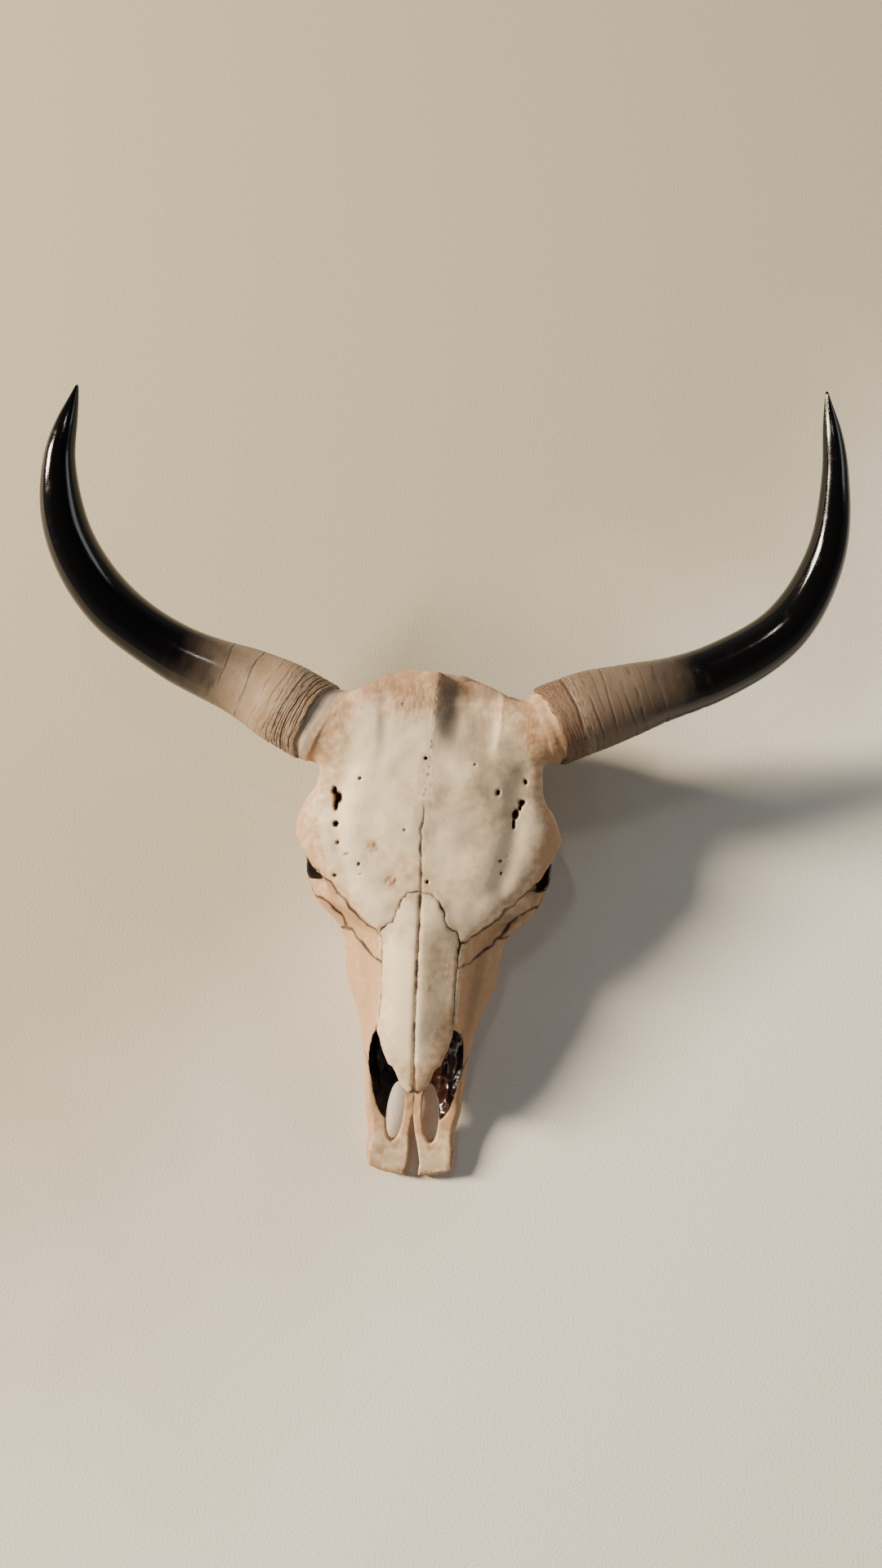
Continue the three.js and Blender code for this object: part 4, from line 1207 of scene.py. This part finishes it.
STAINS = [  # t, w, reach along t, reach across, strength: brown, scuffed and porous places
    (168, -54, 7, 7, 1.0), (201, -33, 7, 6, 1.0), (24, -22, 22, 28, 0.8), (10, -58, 12, 26, 0.7),
    (46, 40, 26, 14, 0.35), (52, 92, 26, 10, 0.7), (40, -92, 26, 12, 0.6), (8, 20, 10, 60, 0.6),
    (80, -9, 34, 4, 0.45), (30, 62, 26, 16, 0.6), (300, 60, 40, 10, 0.3), (262, -66, 34, 10, 0.35),
    (120, 0, 130, 6, 0.3), (256, -6, 4, 3, 0.7), (300, 8, 6, 4, 0.6), (378, -50, 12, 5, 0.9),
    (384, 48, 12, 6, 0.7), (408, 0, 8, 9, 0.9), (440, -8, 24, 4, 0.5), (462, -17, 7, 5, 1.0),
    (464, 21, 6, 5, 0.9), (452, 9, 18, 4, 0.5), (494, 24, 6, 16, 0.9), (494, -24, 6, 16, 0.9),
    (480, 43, 12, 5, 0.8), (480, -43, 12, 5, 0.9), (470, -28, 14, 10, 0.25), (240, -98, 30, 8, 0.4),
]


PAINTED_SHADE_SPOTS = [  # t, w, reach along t, reach across, strength: painted shade, grey brown, where shade falls on the skull, mostly on its +w half
    (14, 10, 30, 15, 1.0), (6, 38, 20, 34, 1.0), (40, 13, 34, 12, 0.85), (56, 60, 40, 26, 0.45),
    (112, 22, 44, 9, 0.40), (150, 40, 70, 30, 0.24), (150, 6, 60, 8, 0.24), (176, -66, 44, 16, 0.30),
    (62, 52, 52, 40, 0.62), (126, 46, 60, 44, 0.54),
    (196, 34, 18, 26, 0.30), (224, 26, 14, 12, 0.30), (270, 12, 50, 12, 0.40), (330, 10, 40, 9, 0.28),
    (130, -66, 40, 14, 0.22), (250, 86, 36, 22, 0.62), (300, 60, 50, 18, 0.35), (254, -92, 26, 14, 0.40),
    (472, -26, 12, 14, 0.45), (472, 24, 12, 12, 0.16), (60, 100, 30, 22, 0.50), (12, -50, 20, 36, 0.62),
]


def spots(table, t, w):
    """The strongest of many soft oval spots, each given as t, w, reach along t and across, strength."""
    most = np.zeros(len(t))
    for at_t, at_w, along_t, across, strength in table:
        spread = ((t - at_t) / along_t) ** 2 + ((w - at_w) / across) ** 2
        most = np.maximum(most, strength * np.exp(-spread))
    return most


def bone_attributes(points, region, free_edges):
    """What the paint needs to know at each point. free_edges: the nasal bones end over the open nose."""
    w, t, p = points[:, 0], -points[:, 1], points[:, 2]
    out = np.abs(w)
    top = upper_face(t, p)
    warm = 0.98 * smoothstep(4, -20, p) * smoothstep(196, 250, t)
    warm = np.maximum(warm, 0.74 * smoothstep(-36, -4, out - edge(t)) * smoothstep(262, 200, t))
    warm = np.maximum(
        warm, 0.72 * smoothstep(58, 8, t) + 0.2 * smoothstep(-20, -60, w) * smoothstep(40, 10, t)
    )
    warm = (
        np.maximum(warm, 0.75 * smoothstep(400, 430, t))
        - 0.5 * smoothstep(436, 462, t) * smoothstep(-47, -42, p)
    )
    warm = np.maximum(warm, 0.6 * smoothstep(-40, -70, p))
    warm = np.maximum(warm, 0.45 * smoothstep(340, 400, t))
    front_rim = smoothstep(9, 1, np.minimum(edge(t) - out, 493 - t)) * smoothstep(430, 470, t)
    collar = np.zeros(len(points))
    for side in (1, -1):
        root, ahead = horn_root(side)
        depth = (points - root) @ ahead
        apart = np.linalg.norm(points - root - depth[:, None] * ahead, axis=1)
        near = smoothstep(-54, -14, depth) * smoothstep(62, 46, apart)
        # Tan near a horn's root; stronger at +w, where shade falls, so part of it there is painted shade.
        warm = np.maximum(warm, (0.85 if side > 0 else 0.5) * near)
        if side < 0:
            bare = smoothstep(-7, -2, depth) * smoothstep(-50, -24, p) * smoothstep(62, 46, apart)
            collar = np.maximum(collar, bare)
    plan_i = np.clip((w / VOXEL - FIRST[0]).round().astype(int), 0, COUNT[0] - 1)
    plan_j = np.clip((-t / VOXEL - FIRST[1]).round().astype(int), 0, COUNT[1] - 1)
    hollow = 1 - smoothstep(0.4, 2.6, sampled(dark.field, points))
    hollow = hollow * (1 - smoothstep(440, 448, t)) * (1 - smoothstep(11, 8, out) * smoothstep(392, 402, t))
    return {
        "seam": -sampled(region, points),
        "gape": open_seam(t, p)
        * (1 - free_edges * smoothstep(328, 340, t) * smoothstep(3, 7, np.abs(w - drift(t)))),
        "wide": smoothstep(42, 56, out) * smoothstep(205, 225, t) * smoothstep(330, 290, t),
        "fused": smoothstep(150, 140, t) * smoothstep(12, 8, np.abs(w - drift(t))) * top,
        "pit": hole_mask[plan_i, plan_j] * top,
        "stain": np.maximum(spots(STAINS, t, w), 0.85 * front_rim) * top,
        # painted shade, grey brown, from the spots table
        "painted_shade": spots(PAINTED_SHADE_SPOTS, t, w) * smoothstep(-70, -40, p),
        "warm": warm,
        "collar": collar,
        "hollow": hollow,
        # 1 at +w, where the cavity lining is red brown; 0 at -w, where it is painted near black as shade
        "lining_lit_side": smoothstep(-4, 16, w),
        "tooth": 1 - smoothstep(0.0, 1.2, sampled(teeth.field, points)),
    }


bone = dry_bone()
for name, region in regions.items():
    nasal = name.startswith("nasal")
    points, quads = surface(nose_closed if nasal else skull.field, region)
    new_piece(f"bone_{name}", points, [quads], bone_attributes(points, region, nasal), bone, name)

# ---------- horns ----------

# Growth rings of a sheath: place along it, half width and depth, all in millimetres.
RINGS = {
    1: [(2, 0.8, 0.4), (5.5, 0.6, 0.4), (9, 0.5, 0.35), (12.5, 0.6, 0.4), (16, 0.5, 0.3), (19.5, 0.6, 0.35),
        (25.5, 1.5, 1.1), (30, 0.7, 0.35), (35, 0.8, 0.4), (39, 0.5, 0.3), (44, 1.2, 0.55), (52, 0.8, 0.3),
        (60, 1.2, 0.5), (69, 0.8, 0.25), (79, 1.3, 0.55), (90, 1.7, 0.7), (99, 0.9, 0.25), (112, 1.5, 0.4),
        (131, 2.0, 0.5), (150, 2.2, 0.45)],
    -1: [(2.5, 0.6, 0.6), (6, 0.7, 0.8), (9, 0.5, 0.5), (12, 0.6, 0.8), (15.5, 0.5, 0.6), (18.5, 0.8, 1.0),
         (22, 0.5, 0.6), (25, 0.6, 0.7), (28, 0.5, 0.5), (31.5, 0.7, 0.8), (36, 0.5, 0.5), (41, 0.6, 0.5),
         (47, 0.5, 0.35), (58, 0.6, 0.3), (77, 0.6, 0.35), (103, 0.8, 0.3)],
}
FINE_STEP, COARSE_STEP, FINE_END = 0.6, 2.2, 125
HORN_SIDES = 144
DRAWN_BACK = {1: 5, -1: 9}  # how far the edge of a sheath has dried back on its upper side


def wobble(angle, seed, harmonics=10):
    """A smooth random wave of about -1 to 1 round the horn."""
    pick = np.random.default_rng(seed)
    k = np.arange(1, harmonics + 1)[:, None]
    size, phase = pick.uniform(0.3, 1, k.shape) / k**0.6, pick.uniform(0, 2 * np.pi, k.shape)
    return (size * np.cos(k * angle + phase)).sum(0) / np.sqrt((size**2).sum())


def horn_sheath(side):
    path, ahead = spline(horn_path(side), 600)
    length = np.concatenate([[0], np.cumsum(np.linalg.norm(np.diff(path, axis=0), axis=1))])
    whole = length[-1]
    fine, coarse = np.arange(0, FINE_END, FINE_STEP), np.arange(FINE_END, whole, COARSE_STEP)
    reach = np.concatenate([fine, coarse, [whole]])
    centre = np.stack([np.interp(reach, length, path[:, i]) for i in range(3)], 1)
    ahead = np.stack([np.interp(reach, length, ahead[:, i]) for i in range(3)], 1)
    across = np.cross(ahead, (0, 0, 1))
    across /= np.linalg.norm(across, axis=1, keepdims=True)
    upright = np.cross(across, ahead)
    angle = np.linspace(0, 2 * np.pi, HORN_SIDES, endpoint=False)
    s = reach[:, None]
    ring = np.zeros((len(reach), HORN_SIDES))
    height = np.zeros_like(ring)
    for i, (at, half, depth) in enumerate(RINGS[side]):
        line = at + 1.1 * wobble(angle, 100 * side + 500 + i, 6) + 0.35 * wobble(angle, 900 + i, 50)
        strength = smoothstep(-1.0, 0.6, wobble(angle, 300 + 7 * i + side, 11))
        groove_here = strength * np.exp(-(((s - line) / half) ** 2))
        height -= 0.8 * depth * groove_here
        height += 0.22 * depth * np.exp(-(((s - line - 2 * half) / (1.4 * half)) ** 2))
        ring = np.maximum(ring, groove_here * min(1, 0.45 + 0.6 * depth))
    height += 0.5 * wobble(angle, 40 + side, 5) * smoothstep(200, 0, s)
    height += 0.35 * np.sin(s / 31 + 1.3 * wobble(angle, 41 + side, 3)) * smoothstep(60, 140, s)
    edge_line = 1.3 * wobble(angle, 70 + side, 24) * smoothstep(12, 0, s)
    edge_line = edge_line + DRAWN_BACK[side] * smoothstep(0.05, 1, np.sin(angle)) * smoothstep(50, 0, s)
    radius = horn_radius(side, reach / whole)[:, None] + height * smoothstep(0, 3, whole - s)
    radius = radius - 1.6 * np.exp(-s / 1.1)
    radius = np.minimum(radius, 2.2 * np.sqrt(np.maximum(whole - s, 0)) + 0.05)
    rings = centre[:, None] + ahead[:, None] * edge_line[..., None] + radius[..., None] * (
        across[:, None] * np.cos(angle)[None, :, None] + upright[:, None] * np.sin(angle)[None, :, None]
    )
    hidden = centre[0] + ahead[0] + 0.75 * (rings[0] - centre[0])  # the rim turns in over the bone
    points, triangles, quads = rings_mesh(np.concatenate([[hidden], rings]))
    band = smoothstep(31, 23, s) if side > 0 else 0.4 * smoothstep(46, 20, s)
    # Painted shade: the +1 horn lies in the skull's shade and is darkened, more so beyond its root; the -1
    # horn is darkened a little and evenly.
    horn_painted_shade = 0.30 + 0.42 * smoothstep(18, 46, s) if side > 0 else 0.14 + 0 * s
    values = {
        "reach": s, "ring": ring, "band": band, "horn_painted_shade": horn_painted_shade,
        "turn_x": np.cos(angle), "turn_y": np.sin(angle),
    }
    attributes = {}
    for key, value in values.items():
        value = value + 0 * ring
        attributes[key] = np.concatenate([value[:1].ravel(), value.ravel(), [value[0, 0], value[-1, 0]]])
    return points, [quads, triangles], attributes


horn = polished_horn()
for side, word in SIDES.items():
    points, faces, attributes = horn_sheath(side)
    new_piece(f"horn_sheath_{word}", points, faces, attributes, horn, f"horn_{word}")

# ---------- stage, camera and light ----------

floor_mesh = bpy.data.meshes.new("floor")
floor_mesh.from_pydata([(-6, -6, 0), (6, -6, 0), (6, 6, 0), (-6, 6, 0)], [], [(0, 1, 2, 3)])
floor = bpy.data.objects.new("floor", floor_mesh)
bpy.context.scene.collection.objects.link(floor)
floor_material, paint, shader = material("painted_plaster")
place = paint.node("ShaderNodeTexCoord").outputs["Object"]
tone = placed(paint, CLOUDS, {"Place": place, "Broad": 300.0, "Fine": 2.4})
# Painted light and shade: the floor's colour runs darker towards -x and +y and lighter towards +x and -y,
# with a little random variation.
across = paint.node(
    "ShaderNodeVectorMath", {0: place, 1: (0.7, -0.7, 0)}, operation="DOT_PRODUCT"
).outputs["Value"]
painted_light_across = paint.plus(across, paint.times(tone["Broad tone"], 0.12))
colour = paint.mix(paint.step(painted_light_across, -0.15, 0.50), (0.475, 0.43, 0.322, 1), (0.83, 0.80, 0.745, 1))
finish(paint, shader, Base_Color=colour, Roughness=paint.step(tone["Mottle"], 0, 1, 0.8, 0.9),
       Normal=paint.bump(tone["Mottle"], 0.17))
floor_mesh.materials.append(floor_material)

CAMERA_HEIGHT = 1126  # above the forehead plane, looking square at it
CAMERA_T, CAMERA_W = 105, 7.7
CAMERA_ROLL = math.radians(3.58)
FOCAL_PIXELS, LONG_SIDE_PIXELS, SENSOR = 1442, 1920, 36

camera = bpy.data.objects.new("camera", bpy.data.cameras.new("camera"))
bpy.context.scene.collection.objects.link(camera)
camera.data.sensor_width = SENSOR
camera.data.lens = FOCAL_PIXELS * SENSOR / LONG_SIDE_PIXELS
turn = Matrix.Rotation(FOREHEAD_TILT, 4, "X") @ Matrix.Rotation(CAMERA_ROLL, 4, "Z")
camera.matrix_world = Matrix.Translation(TO_REST @ Vector((CAMERA_W, -CAMERA_T, CAMERA_HEIGHT))) @ turn
bpy.context.scene.camera = camera


def lamp(name, place, size, power, colour):
    light = bpy.data.lights.new(name, "AREA")
    light.shape = "RECTANGLE"
    light.size, light.size_y = size
    light.energy, light.color = power, colour
    obj = bpy.data.objects.new(name, light)
    bpy.context.scene.collection.objects.link(obj)
    obj.location = place
    obj.rotation_mode = "QUATERNION"
    obj.rotation_quaternion = (Vector((0, 0, 0.1)) - Vector(place)).to_track_quat("-Z", "Y")


lamp("key", (-5.5, 0.88, 3.35), (1.0, 2.0), 1330, (1.0, 0.85, 0.66))
lamp("fill", (1.9, 0.9, 1.5), (1.2, 0.7), 10, (0.92, 0.95, 1.0))
lamp("glint", (-0.25, 0.35, 1.6), (0.03, 0.16), 1.6, (1.0, 0.99, 0.97))
world = bpy.data.worlds.new("studio")
world.use_nodes = True
sky = Paint(world.node_tree)
towards = sky.node("ShaderNodeTexCoord").outputs["Generated"]
upward = sky.node("ShaderNodeSeparateXYZ", {0: towards}).outputs[2]
background = world.node_tree.nodes["Background"]
background.inputs[0].default_value = (1.0, 0.96, 0.90, 1)
sky.tree.links.new(sky.step(upward, 0.1, 0.8, 0.28, 0.06), background.inputs[1])
bpy.context.scene.world = world
